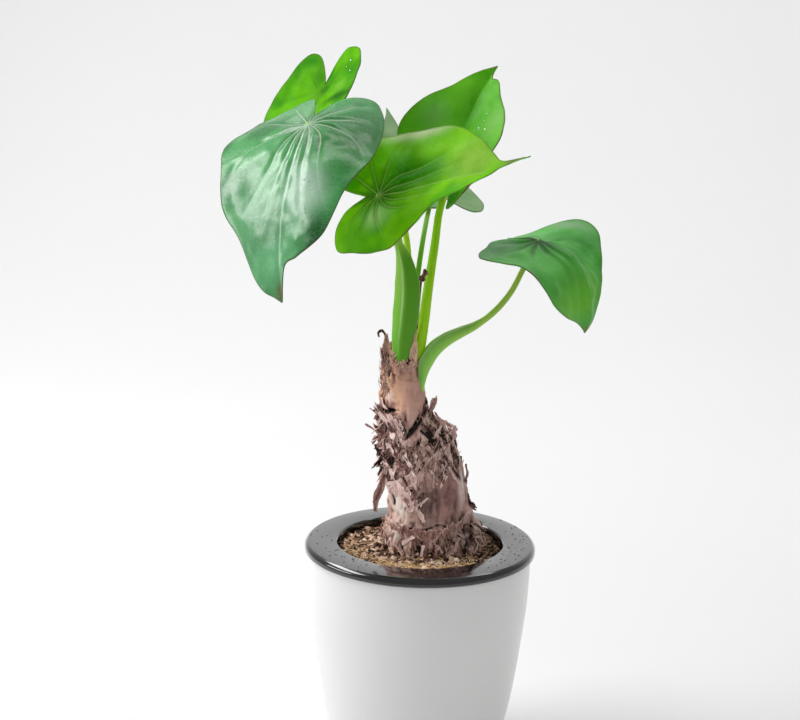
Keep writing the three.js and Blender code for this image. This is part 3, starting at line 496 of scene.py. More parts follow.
class Heap:
    """Many small thin plates, threads and balls gathered into one mesh."""

    def __init__(self):
        self.points, self.faces, self.tone, self.count = [], [], [], 0

    def add(self, points, faces, tone):
        self.points.append(points)
        self.faces.append(faces + self.count)
        self.tone.append(np.broadcast_to(tone, len(points)))
        self.count += len(points)

    def plate(self, grid, thick, tone):
        """A thin closed plate over a grid of points [row, column, xyz]."""
        rows, columns, _ = grid.shape
        normal = unit(np.cross(np.gradient(grid, axis=1), np.gradient(grid, axis=0)))
        both = np.concatenate([grid + normal * thick / 2, grid - normal * thick / 2]).reshape(-1, 3)
        index = np.arange(rows * columns).reshape(rows, columns)
        a, b, c, d = index[:-1, :-1], index[:-1, 1:], index[1:, 1:], index[1:, :-1]
        front = np.stack([a, b, c, d], -1).reshape(-1, 4)
        back = front[:, ::-1] + rows * columns
        ring = np.concatenate([index[0, :-1], index[:-1, -1], index[-1, :0:-1], index[:0:-1, 0]])
        after = np.roll(ring, -1)
        rim = np.stack([after, ring, ring + rows * columns, after + rows * columns], -1)
        self.add(both, np.concatenate([front, back, rim]), np.concatenate([tone.ravel(), tone.ravel()]))

    def thread(self, points, radius, tone, steps=8):
        """A thin square thread that tapers towards its tip."""
        centre, _, side, up = swept(points, steps, ANY_WAY)
        turn = np.arange(4) * math.pi / 2
        size = radius * (1 - THREAD_TAPER * np.linspace(0, 1, steps + 1))[:, None, None]
        ring = side[:, None] * np.cos(turn)[None, :, None] + up[:, None] * np.sin(turn)[None, :, None]
        grid = centre[:, None] + ring * size
        index = np.arange((steps + 1) * 4).reshape(steps + 1, 4)
        after = np.roll(index, -1, axis=1)
        wall = np.stack([index[:-1], after[:-1], after[1:], index[1:]], -1).reshape(-1, 4)
        self.add(grid.reshape(-1, 3), np.concatenate([wall, index[:1, ::-1], index[-1:]]), tone)

    def make(self, name, node_name, slot, material, crease=None):
        """The heap as one finished piece, with edges over crease degrees kept sharp, or flat
        faces where it is 0."""
        mesh = bpy.data.meshes.new(name)
        points = np.concatenate(self.points) * MM
        mesh.from_pydata(points.tolist(), [], [face for faces in self.faces for face in faces.tolist()])
        obj = bpy.data.objects.new(name, mesh)
        bpy.context.scene.collection.objects.link(obj)
        keep_values(obj, {"tone": np.concatenate(self.tone)})
        edit(obj, normals_out)
        if crease != 0:
            shade(obj, crease)
        finish_piece(obj, node_name, slot, material)


def node(tree, kind, links=None, out=0, **settings):
    """Add a node with its settings; links gives its inputs a socket or a value."""
    made = tree.nodes.new("ShaderNode" + kind)
    for key, value in settings.items():
        setattr(made, key, value)
    for key, value in (links or {}).items():
        if isinstance(value, bpy.types.NodeSocket):
            tree.links.new(value, made.inputs[key])
        else:
            made.inputs[key].default_value = value
    return made.outputs[out] if made.outputs else made


def new_material(name):
    """An empty material, its node adder, and its own coordinates in mm."""
    material = bpy.data.materials.new(name)
    material.use_nodes = True
    material.node_tree.nodes.clear()
    add = partial(node, material.node_tree)
    spot = add("Mapping", {"Vector": add("TexCoord", out="Object"), "Scale": (1000, 1000, 1000)})
    return material, add, spot


# Curves


def hermite(start, end, leave, arrive, t):
    """A cubic run from start to end with the given ways in and out."""
    square = -3 * start + 3 * end - 2 * leave - arrive
    cube = 2 * start - 2 * end + leave + arrive
    return start + leave * t + square * t ** 2 + cube * t ** 3


def path_along(points, count):
    """A centripetal curve through the points, in count even steps, with its tangents."""
    p = vec(points)
    p = np.vstack([2 * p[0] - p[1], p, 2 * p[-1] - p[-2]])
    out = []
    for i in range(1, len(p) - 2):
        p0, p1, p2, p3 = p[i - 1:i + 3]
        d0, d1, d2 = (max(np.linalg.norm(b - a) ** 0.5, 1e-4) for a, b in ((p0, p1), (p1, p2), (p2, p3)))
        t1 = ((p1 - p0) / d0 - (p2 - p0) / (d0 + d1) + (p2 - p1) / d1) * d1
        t2 = ((p2 - p1) / d1 - (p3 - p1) / (d1 + d2) + (p3 - p2) / d2) * d1
        out.append(hermite(p1, p2, t1, t2, np.linspace(0, 1, 60)[:, None]))
    dense = np.vstack(out)
    run = np.concatenate([[0], np.cumsum(np.linalg.norm(np.diff(dense, axis=0), axis=1))])
    want = np.linspace(0, run[-1], count + 1)
    centre = np.stack([np.interp(want, run, dense[:, k]) for k in range(3)], 1)
    return centre, unit(np.gradient(centre, axis=0))


def swept(points, steps, facing):
    """A curve through the points with its tangents and the two ways across it, of which the
    first lies square to facing."""
    centre, tangent = path_along(points, steps)
    side = unit(np.cross(tangent, unit(facing)))
    return centre, tangent, side, unit(np.cross(side, tangent))


def tube(name, points, steps, sides, facing, section, keel=2.0):
    """A closed stalk: sections carried along the curve, as on the solids."""
    centre, _, side, up = swept(points, steps, facing)

    def place(u, v):
        k = np.rint(v * steps).astype(int)
        width, thick, trough = rows_at(section, k / steps)
        turn = u * 2 * math.pi
        share = np.cos(turn)
        body = width - thick
        slope = np.arctan2(2 * trough * share, body + 1e-6) * np.minimum(1, trough)
        across = body * share + thick * (share * np.cos(slope) - np.sin(turn) * np.sin(slope))
        lift = trough * (np.abs(share) ** keel - TROUGH_REST)
        lift = lift + thick * (np.sin(turn) * np.cos(slope) + share * np.sin(slope))
        points = centre[k] + side[k] * across[:, None] + up[k] * lift[:, None]
        return points, {"along": k / steps, "across": share, "trough": trough}

    return sheet(name, sides, steps, place, closed=True, fill=True)


# Blades


def margin_at(leaf, u):
    """The flat margin once round, u from 0 at the tip over the right half, in blade lengths."""
    out = np.zeros((len(u), 2))
    for half, sign in (("right", 1), ("left", -1)):
        tip = [[0, 1 + leaf["drip"]]]
        p = vec(tip + [[a * reach, b * reach] for (a, b), reach in zip(MARGIN, leaf[half])] + [SINUS])
        last = len(p) - 1
        pick = u <= 0.5 if sign == 1 else u > 0.5
        t = np.clip((u if sign == 1 else 1 - u)[pick] * 2 * last, 0, last)
        k = np.minimum(t.astype(int), last - 1)
        t = (t - k)[:, None]
        p0, p1, p2, p3 = p[np.maximum(k - 1, 0)], p[k], p[k + 1], p[np.minimum(k + 2, last)]
        out[pick] = hermite(p1, p2, (p2 - p0) / 2, (p3 - p1) / 2, t) * [sign, 1]
    return out


def arc(distance, turn, span):
    """How far along, and how far off, an arc lies that turns so many degrees over its span."""
    bend = np.where(np.abs(turn) < 1e-6, 1e-6, turn) * RAD / span
    angle = bend * distance
    return np.sin(angle) / bend, (1 - np.cos(angle)) / bend, angle


def on_blade(leaf, flat):
    """Points of the bent blade from places on the flat one, which are in blade lengths."""
    length = leaf["length"]
    h, p, r = (leaf[key] * RAD for key in ("heading", "pitch", "roll"))
    tip = vec([math.cos(p) * math.cos(h), math.cos(p) * math.sin(h), math.sin(p)])
    level = unit(np.cross(tip, [0, 0, 1]))
    above = np.cross(level, tip)
    side = level * math.cos(r) + above * math.sin(r)
    up = above * math.cos(r) - level * math.sin(r)
    x, y = flat[:, 0], flat[:, 1]
    along = y * length
    back = along < 0
    lobes = arc(-along, leaf["lobe_bend"], LOBE_SHARE * length)
    ahead = arc(along, leaf["droop"], length)
    run, drop, angle = (np.where(back, a, b)[:, None] for a, b in zip(lobes, ahead))
    forward = np.where(back, -1.0, 1.0)[:, None]
    point = vec(leaf["junction"]) + tip * forward * run - up * drop
    normal = up * np.cos(angle) + tip * forward * np.sin(angle)
    twist = (leaf["twist"] * RAD * y)[:, None]
    sideways = side * np.cos(twist) + normal * np.sin(twist)
    raised = normal * np.cos(twist) - side * np.sin(twist)
    right = x > 0
    reach = np.abs(x) * leaf["width"] * length
    fold = (np.where(right, leaf["fold"][0], leaf["fold"][1]) + leaf["pinch"] * y) * RAD
    cup = np.where(right, leaf["cup"][0], leaf["cup"][1])
    flat_run, flat_rise, _ = arc(reach, cup, HALF_WIDTH * length)
    out = flat_run * np.cos(fold) - flat_rise * np.sin(fold)
    rise = flat_run * np.sin(fold) + flat_rise * np.cos(fold)
    return point + sideways * (np.sign(x) * out)[:, None] + raised * rise[:, None]


def blade_normal(leaf, flat):
    step = 0.012
    across, along = (on_blade(leaf, flat + way) - on_blade(leaf, flat - way)
                     for way in (vec([step, 0]), vec([0, step])))
    return unit(np.cross(across, along))


def vein_fields(leaf, flat):
    """For each point: the running number of the vein it lies by, mm between veins, and mm
    from the midrib and from the junction. All side veins start at the junction."""
    x = np.abs(flat[:, 0]) * leaf["width"]
    y = flat[:, 1]
    radius = np.hypot(x, y)
    swing = np.arctan2(x, y)
    sweep = VEIN_SWEEP * (1 - np.exp(-(radius / SWEEP_REACH) ** 1.8))
    bell = np.exp(-(swing / SWEEP_SPAN) ** 2)
    start = swing * (1 + sweep * bell)
    rate = 1 + sweep * bell * (1 - 2 * (swing / SWEEP_SPAN) ** 2)
    number = (start - FIRST_VEIN) / VEIN_STEP
    gap = radius * VEIN_STEP / np.maximum(rate, 0.3)
    length = leaf["length"]
    middle = np.where(y > 0, x, radius) * length
    return number, gap * length, middle, radius * length


def blade_tint(name, flat, tones):
    """The colour of the upper side: two tones and the patches, with their painted highlights and painted
    shade.
    """
    look = LEAF_LOOKS[name]
    tint = blend(linear(look["deep"]), linear(look["light"]), tones)
    for x, y, wide, long_, code, strength in LIGHT_AND_TONE_PATCHES[name]:
        far = ((flat[:, 0] - x) / wide) ** 2 + ((flat[:, 1] - y) / long_) ** 2
        tint = blend(tint, linear(code), strength * np.exp(-far ** 1.3))
    return tint


def blade(node_name, leaf, look, columns, rows):
    """The blade as one sheet of spokes and rings round the junction, before it gets its
    thickness: creased at its veins, waved at its margin, softly puckered all over."""

    def place(u, v):
        share = v ** 0.9
        edge = margin_at(leaf, u)
        flat = edge * share[:, None]
        number, gap, middle, hub = vein_fields(leaf, flat)
        to_vein = np.abs(number - np.maximum(np.rint(number), 0)) * gap
        nearest = np.minimum(to_vein, middle)
        rim = (1 - share) * np.linalg.norm(edge, axis=1) * leaf["length"] * 0.8
        inner = smooth(0, 10, rim)
        close = np.exp(-(hub / (CREASE_REACH * leaf["length"])) ** 2)
        depth = look["crease"] * (0.3 + 1.1 * close) * leaf["relief"]
        creases = depth * inner * (smooth(0, 1, nearest / CREASE_WIDTH) - 0.5) * smooth(0, 5, hub)
        height, waves, phase = leaf["wave"]
        turn = 2 * math.pi * u
        wave = height * share ** 3 * np.sin(waves * turn + phase) * np.sqrt(np.abs(np.sin(turn / 2)))
        points = on_blade(leaf, flat)
        puckers = cloud(points, PUCKER_SIZE, leaf["length"], 2) * look.get("pucker", 0.8) * inner
        ripple = cloud(points, RIPPLE_SIZE, leaf["width"] * 9) * 0.6 * share ** 7
        tones = smooth(-0.7, 0.7, cloud(points, TONE_SIZE, leaf["width"] * 5, 3))
        points = points + blade_normal(leaf, flat) * (wave + creases + puckers + ripple)[:, None]
        kept = {"vein_number": number, "vein_gap": gap, "midrib": middle, "hub": hub, "rim": rim,
                "tint": blade_tint(node_name, flat, tones)}
        return points, kept

    obj = sheet("blade", columns, rows, place, closed=True)
    facing = blade_normal(leaf, vec([[0.1, 0.25]]))[0]
    normals = np.zeros(len(obj.data.polygons) * 3)
    obj.data.polygons.foreach_get("normal", normals)
    if np.dot(facing, normals.reshape(-1, 3).sum(0)) < 0:
        edit(obj, bpy.ops.mesh.flip_normals)
    return obj


def leaf_skin(name, look, upper):
    """Living aroid leaf, grown with a thin wax coat: a soft gloss over a satin green, with
    paler raised veins and a fine net. The thin blade lets light through, and its underside
    is paler and duller."""
    material, add, spot = new_material(name)
    number, gap, middle, hub, rim = (
        add("Attribute", attribute_name=key, out="Fac")
        for key in ("vein_number", "vein_gap", "midrib", "hub", "rim"))
    length = look["length"]

    # Side veins: a line wherever the running number is whole, thinner towards the margin
    ping = add("Math", {0: number, 1: 0.5}, operation="PINGPONG")
    real = add("Math", {0: number, 1: -0.5}, operation="GREATER_THAN")
    side = add("Math", {0: ping, 1: gap}, operation="MULTIPLY")
    inner = add("MapRange", {"Value": rim, "From Min": 2, "From Max": 20})
    fade = add("MapRange", {"Value": hub, "From Min": length * 0.7, "From Max": length * 0.1})
    line = add("MapRange", {"Value": side, "From Min": 0.85, "From Max": 0.15},
               interpolation_type="SMOOTHSTEP")
    for share in (real, inner, fade, look["veins"]):
        line = add("Math", {0: line, 1: share}, operation="MULTIPLY")
    rib = add("MapRange", {"Value": middle, "From Min": 1.0, "From Max": 0.25,
                           "To Max": 0.1 + 0.8 * look["veins"]}, interpolation_type="SMOOTHSTEP")
    rib = add("Math", {0: rib, 1: inner}, operation="MULTIPLY")
    lines = add("Math", {0: line, 1: rib}, operation="MAXIMUM")

    # The creases lie in shadow near the junction
    shadow = add("MapRange", {"Value": side, "From Min": 3.0, "From Max": 0.9})
    near = add("MapRange", {"Value": hub, "From Min": length * 0.33, "From Max": length * 0.05,
                            "To Max": look["crease"] * 0.9})
    shadow = add("Math", {0: shadow, 1: near}, operation="MULTIPLY")

    fine = add("TexNoise", {"Vector": spot, "Scale": 1 / 2.4, "Detail": 3})
    speckle = add("MapRange", {"Value": fine, "From Min": 0.35, "From Max": 0.75, "To Max": 0.16})
    net = add("TexVoronoi", {"Vector": spot, "Scale": 1 / 3.6}, feature="DISTANCE_TO_EDGE")
    net = add("MapRange", {"Value": net, "From Min": 0.08, "From Max": 0, "To Max": 0.1})
    border = add("MapRange", {"Value": rim, "From Min": 1.0, "From Max": 0.2, "To Max": 0.5})
    body = add("Attribute", attribute_name="tint", out="Color") if upper else linear(look["under"])
    for share, code in ((speckle, look["deep"]), (shadow, "#1E5C16"), (net, look["vein"]),
                        (lines, look["vein"]), (border, "#6A5234")):
        body = add("Mix", {0: share, 6: body, 7: linear(code)}, data_type="RGBA", out=2)

    relief = add("Math", {0: fine, 1: net}, operation="SUBTRACT")
    bump = add("Bump", {"Height": relief, "Strength": 0.14, "Distance": 0.0005})
    rough = look["gloss"] if upper else look["gloss"] + 0.2
    rough = add("MapRange", {"Value": fine, "From Min": 0.25, "From Max": 0.8,
                             "To Min": rough - 0.05, "To Max": rough + 0.1})
    skin = add("BsdfPrincipled", {"Base Color": body, "Roughness": rough, "IOR": 1.45, "Normal": bump,
                                  "Specular IOR Level": look["shine"] if upper else 0.3})
    glow = add("Mix", {0: 1.0, 6: body, 7: linear("#E8F58C")}, data_type="RGBA", blend_type="MULTIPLY", out=2)
    through = add("BsdfTranslucent", {"Color": glow, "Normal": bump})
    both = add("MixShader", {0: look["through"], 1: skin, 2: through})
    add("OutputMaterial", {"Surface": both})
    return material


def leaf_rim(name, look):
    """The blade's dried edge, where the leaf has withered to a thin brown-red line that
    still has some of its green: it draws a fine dark outline round the blade."""
    material, add, spot = new_material(name)
    patchy = add("TexNoise", {"Vector": spot, "Scale": 1 / 9, "Detail": 2})
    patchy = add("MapRange", {"Value": patchy, "From Min": 0.35, "From Max": 0.6})
    tone = add("Mix", {0: patchy, 6: linear("#7A4636"), 7: linear(look["deep"])}, data_type="RGBA", out=2)
    add("OutputMaterial", {"Surface": add("BsdfPrincipled", {"Base Color": tone, "Roughness": 0.5})})
    return material


def stalk_skin(name, look):
    """A fleshy leaf stalk that opens into a sheath, grown with a waxy skin: smooth and a
    little see-through, with one half in a deeper green, which on the front centre sheath is
    painted shade, pale margins, a painted highlight along its keel and faint long fibres."""
    material, add, spot = new_material(name)
    along, across, trough = (add("Attribute", attribute_name=key, out="Fac")
                             for key in ("along", "across", "trough"))
    foot, top = look["stalk"]
    first, last, deeper, pale = look["keel"]
    open_ = add("MapRange", {"Value": trough, "From Min": 0.5, "From Max": 3})
    # The other half darker: on the front centre sheath, painted shade on its shaded face
    half = add("MapRange", {"Value": across, "From Min": first, "From Max": last},
               interpolation_type="SMOOTHSTEP")
    half = add("Math", {0: half, 1: open_}, operation="MULTIPLY")
    margin = add("Math", {0: across}, operation="ABSOLUTE")
    margin = add("MapRange", {"Value": margin, "From Min": 0.93, "From Max": 1, "To Max": 0.8})
    margin = add("Math", {0: margin, 1: open_}, operation="MULTIPLY")
    long_ = add("Mapping", {"Vector": spot, "Scale": (1, 1, 0.06)})
    fibres = add("TexNoise", {"Vector": long_, "Scale": 1 / 1.4, "Detail": 2})
    # A painted highlight along the keel
    ridge_highlight = add("Math", {0: across, 1: 0.16}, operation="SUBTRACT")
    ridge_highlight = add("Math", {0: ridge_highlight}, operation="ABSOLUTE")
    ridge_highlight = add("MapRange", {"Value": ridge_highlight, "From Min": 0.12, "From Max": 0.02, "To Max": look["ridge_highlight"]},
                interpolation_type="SMOOTHSTEP")
    rise = add("MapRange", {"Value": along, "From Min": 0.12, "From Max": 0.4})
    for share in (open_, rise, fibres, 1.6):
        ridge_highlight = add("Math", {0: ridge_highlight, 1: share}, operation="MULTIPLY", use_clamp=True)
    soft = add("MapRange", {"Value": fibres, "From Min": 0.4, "From Max": 0.75, "To Max": 0.2})
    tone = linear(foot)
    for share, code in ((along, top), (half, deeper), (margin, pale), (ridge_highlight, "#DCF2CC"),
                        (soft, look["deep"])):
        tone = add("Mix", {0: share, 6: tone, 7: linear(code)}, data_type="RGBA", out=2)
    bump = add("Bump", {"Height": fibres, "Strength": 0.15, "Distance": 0.0003})
    skin = add("BsdfPrincipled", {
        "Base Color": tone, "Roughness": 0.36, "IOR": 1.45, "Specular IOR Level": 0.22, "Normal": bump,
        "Subsurface Weight": 0.08, "Subsurface Radius": (0.4, 0.9, 0.2), "Subsurface Scale": 0.002})
    add("OutputMaterial", {"Surface": skin})
    return material


def leaf_piece(node_name, columns, rows, relief):
    """A whole leaf: its blade as a thin plate with a top, an underside and an edge, and its
    stalk with the sheath."""
    leaf = dict(LEAVES[node_name], relief=relief)
    look = dict(LEAF_LOOKS[node_name], length=leaf["length"])
    look.setdefault("keel", NO_KEEL + look["stalk"])
    look.setdefault("ridge_highlight", 0)
    plain = node_name.replace("leaf_", "")
    plate = blade(node_name, leaf, look, columns, rows)
    plate.data.materials.append(leaf_skin("leaf_top_" + plain, look, True))
    plate.data.materials.append(leaf_skin("leaf_under_" + plain, look, False))
    plate.data.materials.append(leaf_rim("leaf_edge_" + plain, look))
    wall = plate.modifiers.new("plate", "SOLIDIFY")
    wall.thickness = BLADE * MM
    wall.offset = 0
    wall.use_even_offset = False
    wall.material_offset = 1
    wall.material_offset_rim = 2
    apply_all(plate)
    shade(plate)
    stalk = tube("stalk_" + plain, leaf["stalk"] + [leaf["junction"]], STALK_STEPS, STALK_SIDES,
                 leaf["facing"], leaf["section"], look.get("fold", 2.0))
    stalk.data.materials.append(stalk_skin("stalk_" + plain, look))
    shade(stalk)
    finish_piece(join("leafage_" + plain, [plate, stalk]), node_name, look["slot"])


# Pots


def turned(name, profile):
    """A closed body raised ring by ring from a circle. profile gives [radius, z] in mm."""
    deselect()
    radius, z = profile[0]
    bpy.ops.mesh.primitive_circle_add(vertices=POT_SIDES, radius=radius * MM, location=(0, 0, z * MM),
                                      fill_type="NGON")
    obj = bpy.context.object
    obj.name = name
    bpy.ops.object.transform_apply(location=True, rotation=True, scale=True)
    bpy.ops.object.mode_set(mode="EDIT")
    bpy.ops.mesh.select_all(action="SELECT")
    for next_radius, next_z in profile[1:]:
        rise = (0, 0, (next_z - z) * MM)
        bpy.ops.mesh.extrude_region_move(TRANSFORM_OT_translate={"value": rise})
        share = next_radius / radius
        bpy.ops.transform.resize(value=(share, share, 1), center_override=(0, 0, next_z * MM))
        radius, z = next_radius, next_z
    bpy.ops.object.mode_set(mode="OBJECT")
    edit(obj, merge_doubles, normals_out)
    return obj


def round_edges(obj, width, angle=28):
    bevel = obj.modifiers.new("rounded", "BEVEL")
    bevel.width = width * MM
    bevel.segments = 3
    bevel.limit_method = "ANGLE"
    bevel.angle_limit = angle * RAD
    apply_all(obj)


def flowing(profile, count):
    """A smooth run through the points of an outline."""
    centre, _ = path_along([[radius, z, 0] for radius, z in profile], count)
    return [tuple(point) for point in centre[:, :2]]


def white_plastic(tone):
    """Injection-moulded white polypropylene: a soft gloss over an even, faintly milky
    white, with the very light grain of the mould."""
    material, add, spot = new_material("white_polypropylene")
    broad = add("TexNoise", {"Vector": spot, "Scale": 1 / 90, "Detail": 1})
    fine = add("TexNoise", {"Vector": spot, "Scale": 1 / 0.9, "Detail": 2})
    body = add("Mix", {0: broad, 6: list(tone) + [1], 7: linear("#F1F1F0")}, data_type="RGBA", out=2)
    bump = add("Bump", {"Height": fine, "Strength": 0.05, "Distance": 0.0002})
    skin = add("BsdfPrincipled", {"Base Color": body, "Roughness": 0.28, "IOR": 1.49,
                                  "Specular IOR Level": 0.5, "Normal": bump})
    add("OutputMaterial", {"Surface": skin})
    return material


def black_plastic(tone):
    """Injection-moulded black polypropylene with a polished face: it mirrors the room at a
    low angle, and shows fine wiping marks and pale dust."""
    material, add, spot = new_material("black_polypropylene")
    wipe = add("TexNoise", {"Vector": spot, "Scale": 1 / 6, "Detail": 3, "Roughness": 0.6})
    dust = add("TexNoise", {"Vector": spot, "Scale": 1 / 0.8, "Detail": 2, "Roughness": 0.8})
    dust = add("MapRange", {"Value": dust, "From Min": 0.66, "From Max": 0.76, "To Max": 0.4})
    body = add("Mix", {0: dust, 6: list(tone) + [1], 7: linear("#8A857C")}, data_type="RGBA", out=2)
    rough = add("MapRange", {"Value": wipe, "From Min": 0.3, "From Max": 0.7, "To Min": 0.1, "To Max": 0.2})
    bump = add("Bump", {"Height": dust, "Strength": 0.25, "Distance": 0.0002})
    skin = add("BsdfPrincipled", {
        "Base Color": body, "Roughness": rough, "IOR": 1.5, "Specular IOR Level": 0.5,
        "Coat Weight": 1.0, "Coat Roughness": 0.09, "Coat IOR": 1.5, "Normal": bump})
    add("OutputMaterial", {"Surface": skin})
    return material


def cotton():
    """Cotton cord, spun and twisted from off-white yarn: matt and fuzzy, with slanting
    strands."""
    material, add, spot = new_material("cotton_cord")
    lean = add("Mapping", {"Vector": spot, "Rotation": (0.5, 0.6, 0)})
    strand = add("TexWave", {"Vector": lean, "Scale": 0.35, "Distortion": 1.2}, out="Fac")
    body = add("Mix", {0: strand, 6: linear("#CFC6B2"), 7: linear("#EFEADD")}, data_type="RGBA", out=2)
    bump = add("Bump", {"Height": strand, "Strength": 0.6, "Distance": 0.0006})
    skin = add("BsdfPrincipled", {"Base Color": body, "Roughness": 0.95, "Normal": bump})
    add("OutputMaterial", {"Surface": skin})
    return material


def white_pot_piece(look):
    outside = flowing(POT_OUTLINE, 44)
    inside = [(radius - POT_WALL, z) for radius, z in reversed(outside) if z > 2 * POT_FLOOR]
    foot = [(AXIS_RING, 0), (FOOT_RADIUS, 0)]
    floor = [(radius, POT_FLOOR) for radius in (FOOT_RADIUS + 6, AXIS_RING, AXIS_POINT)]
    piece = turned("white_pot", foot + outside + inside + floor)
    round_edges(piece, MOULD_EDGE, 50)
    shade(piece, 35)
    finish_piece(piece, "outer_pot", "white_plastic", white_plastic(look.pot_white))


def black_pot_piece(look):
    """The black pot with its wide rim, raised like the white one, its floor then cut
    through by six slots and the hole of the wick."""
    profile = [
        (AXIS_RING, CUP_FLOOR), (45.5, CUP_FLOOR), (MOUTH + 2, RIM_UNDER), (RIM - 0.8, RIM_UNDER),
        (RIM, RIM_UNDER + 0.8), (RIM, RIM_TOP - 2.8), (RIM - 0.9, RIM_TOP - 1.1), (RIM - 2.5, RIM_TOP),
        (MOUTH + 1, RIM_TOP), (MOUTH, RIM_TOP - 1), (MOUTH, RIM_TOP - 3), (43.5, CUP_FLOOR + CUP_WALL),
        (AXIS_RING, CUP_FLOOR + CUP_WALL), (AXIS_POINT, CUP_FLOOR + CUP_WALL)]
    piece = turned("black_pot", profile)
    level = (CUP_FLOOR + CUP_WALL / 2) * MM
    slots = []
    for i in range(SLOTS):
        turn = i * 2 * math.pi / SLOTS
        x, y, _ = SLOT_RING * MM * towards(turn)
        deselect()
        bpy.ops.mesh.primitive_cube_add(size=1, scale=[side * MM for side in SLOT_SIZE],
                                        rotation=(0, 0, turn), location=(x, y, level))
        slots.append(bpy.context.object)
    deselect()
    bpy.ops.mesh.primitive_cylinder_add(radius=WICK_HOLE * MM, depth=SLOT_SIZE[2] * MM,
                                        location=(0, 0, level), vertices=32)
    slots.append(bpy.context.object)
    cutter = join("slots", slots)
    work_on(cutter)
    bpy.ops.object.transform_apply(location=True, rotation=True, scale=True)
    cut = piece.modifiers.new("slots", "BOOLEAN")
    cut.operation = "DIFFERENCE"
    cut.object = cutter
    cut.solver = "EXACT"
    apply_all(piece)
    bpy.data.objects.remove(cutter)
    round_edges(piece, MOULD_EDGE)
    shade(piece, 40)
    finish_piece(piece, "inner_pot", "black_plastic", black_plastic(look.pot_black))


# Soil


def soil_height(x, y):
    """The soil's own top, as on the solid: a low mound round the stem, with lumps."""
    share = np.minimum(1, np.hypot(x - 8, y) / 48)
    lump_x = np.sin(0.42 * x + 1.1 * np.sin(0.3 * y))
    lump_y = np.sin(0.37 * y + 0.8 * np.sin(0.23 * x))
    grit = 0.45 * np.sin(1.31 * x + 0.7 * y) * np.sin(1.13 * y - 0.4 * x)
    return SOIL_LEVEL + 3.5 * (1 - share * share) + 0.7 * lump_x * lump_y + grit


def loose_skin(name, squeeze, grain, detail, sway, shades, rough, shine):
    """The common ground of crumbs and husks: the tone kept on the mesh, swayed by a fine
    grain, picks the shade. shades: the deepest, then (tone from, tone to, shade)."""
    material, add, spot = new_material(name)
    long_ = add("Mapping", {"Vector": spot, "Scale": (1, 1, squeeze)})
    fibres = add("TexNoise", {"Vector": long_, "Scale": 1 / grain, "Detail": detail, "Roughness": 0.7})
    shift = add("MapRange", {"Value": fibres, "From Min": 0.3, "From Max": 0.7,
                             "To Min": -sway, "To Max": sway})
    tone = add("Attribute", attribute_name="tone", out="Fac")
    tone = add("Math", {0: tone, 1: shift}, operation="ADD")
    body = linear(shades[0])
    for low, high, code in shades[1:]:
        share = add("MapRange", {"Value": tone, "From Min": low, "From Max": high})
        body = add("Mix", {0: share, 6: body, 7: linear(code)}, data_type="RGBA", out=2)
    bump = add("Bump", {"Height": fibres, "Strength": 0.7, "Distance": 0.0006})
    skin = add("BsdfPrincipled", {"Base Color": body, "Roughness": rough, "Specular IOR Level": shine,
                                  "Normal": bump})
    add("OutputMaterial", {"Surface": skin})
    return material


def potting_mix(name):
    """Potting mix, crumbled from bark, peat and fibre: matt, from near black to pinkish tan,
    and straw where the tone is over 1."""
    shades = ("#1C0D07", (0, 0.5, "#B48A6E"), (0.5, 1, "#FFE6D0"), (1.1, 1.4, "#FFDE9E"))
    return loose_skin(name, 1, 1.5, 3, 0.22, shades, 0.9, 0.25)


def scatter_chip(heap, model, rng, place, size, tone):
    """A crumb in a size and shape of its own, turned at random, kept inside the pot."""
    points, faces = model
    points = points * (1 + rng.uniform(-0.3, 0.3, (len(points), 1))) * size
    spin = Euler((rng.normal(0, CHIP_LEAN), rng.normal(0, CHIP_LEAN), rng.uniform(0, 6.3))).to_matrix()
    points = points @ vec(spin).T + place
    far = np.hypot(points[:, 0], points[:, 1]).max()
    if far > SOIL_REACH and points[:, 2].max() < RIM_TOP - 0.5:
        points[:, :2] *= SOIL_REACH / far
    heap.add(points, faces, tone)


def soil_bed():
    """A copy of the solid, its top divided finer and raised into crumbs."""
    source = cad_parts["soil"]
    soil = source.copy()
    soil.data = source.data.copy()
    soil.name = "soil_bed"
    for key in list(soil.keys()):
        del soil[key]
    soil.parent = None
    bpy.context.scene.collection.objects.link(soil)
    edit(soil, merge_doubles)
    mesh = soil.data
    for part in (*mesh.vertices, *mesh.edges, *mesh.polygons):
        part.select = False
    for face in mesh.polygons:
        if face.center.z > (SOIL_LEVEL - 3.5) * MM and face.normal.z > 0.2:
            face.select = True
            for k in face.vertices:
                mesh.vertices[k].select = True
    work_on(soil)
    bpy.ops.object.mode_set(mode="EDIT")
    bpy.ops.mesh.select_mode(type="FACE")
    bpy.ops.mesh.subdivide(number_cuts=4)
    bpy.ops.object.mode_set(mode="OBJECT")
    co = read_points(soil) / MM
    inside = smooth(SOIL_REACH - 0.3, SOIL_REACH - 2.8, np.hypot(co[:, 0], co[:, 1]))
    top = smooth(SOIL_LEVEL - 2.8, SOIL_LEVEL - 1.5, co[:, 2]) * inside
    co[:, 2] += top * (1.8 * cloud(co, 6, 1, 2) + 1.6 * np.abs(cloud(co, 2.3, 2)) - 0.8)
    write_points(soil, co)
    # Paler towards the front, less so at the right, which stays darker as painted shade
    pale = 0.35 * smooth(*PALE_FROM, co[:, 1]) * (1 - smooth(*SHADED_RIGHT_FROM, co[:, 0]))
    keep_values(soil, {"tone": 0.16 + 0.25 * cloud(co, 4, 4, 2) + pale})
    shade(soil, 40)
    finish_piece(soil, "soil", "potting_mix", potting_mix("potting_mix_bed"))


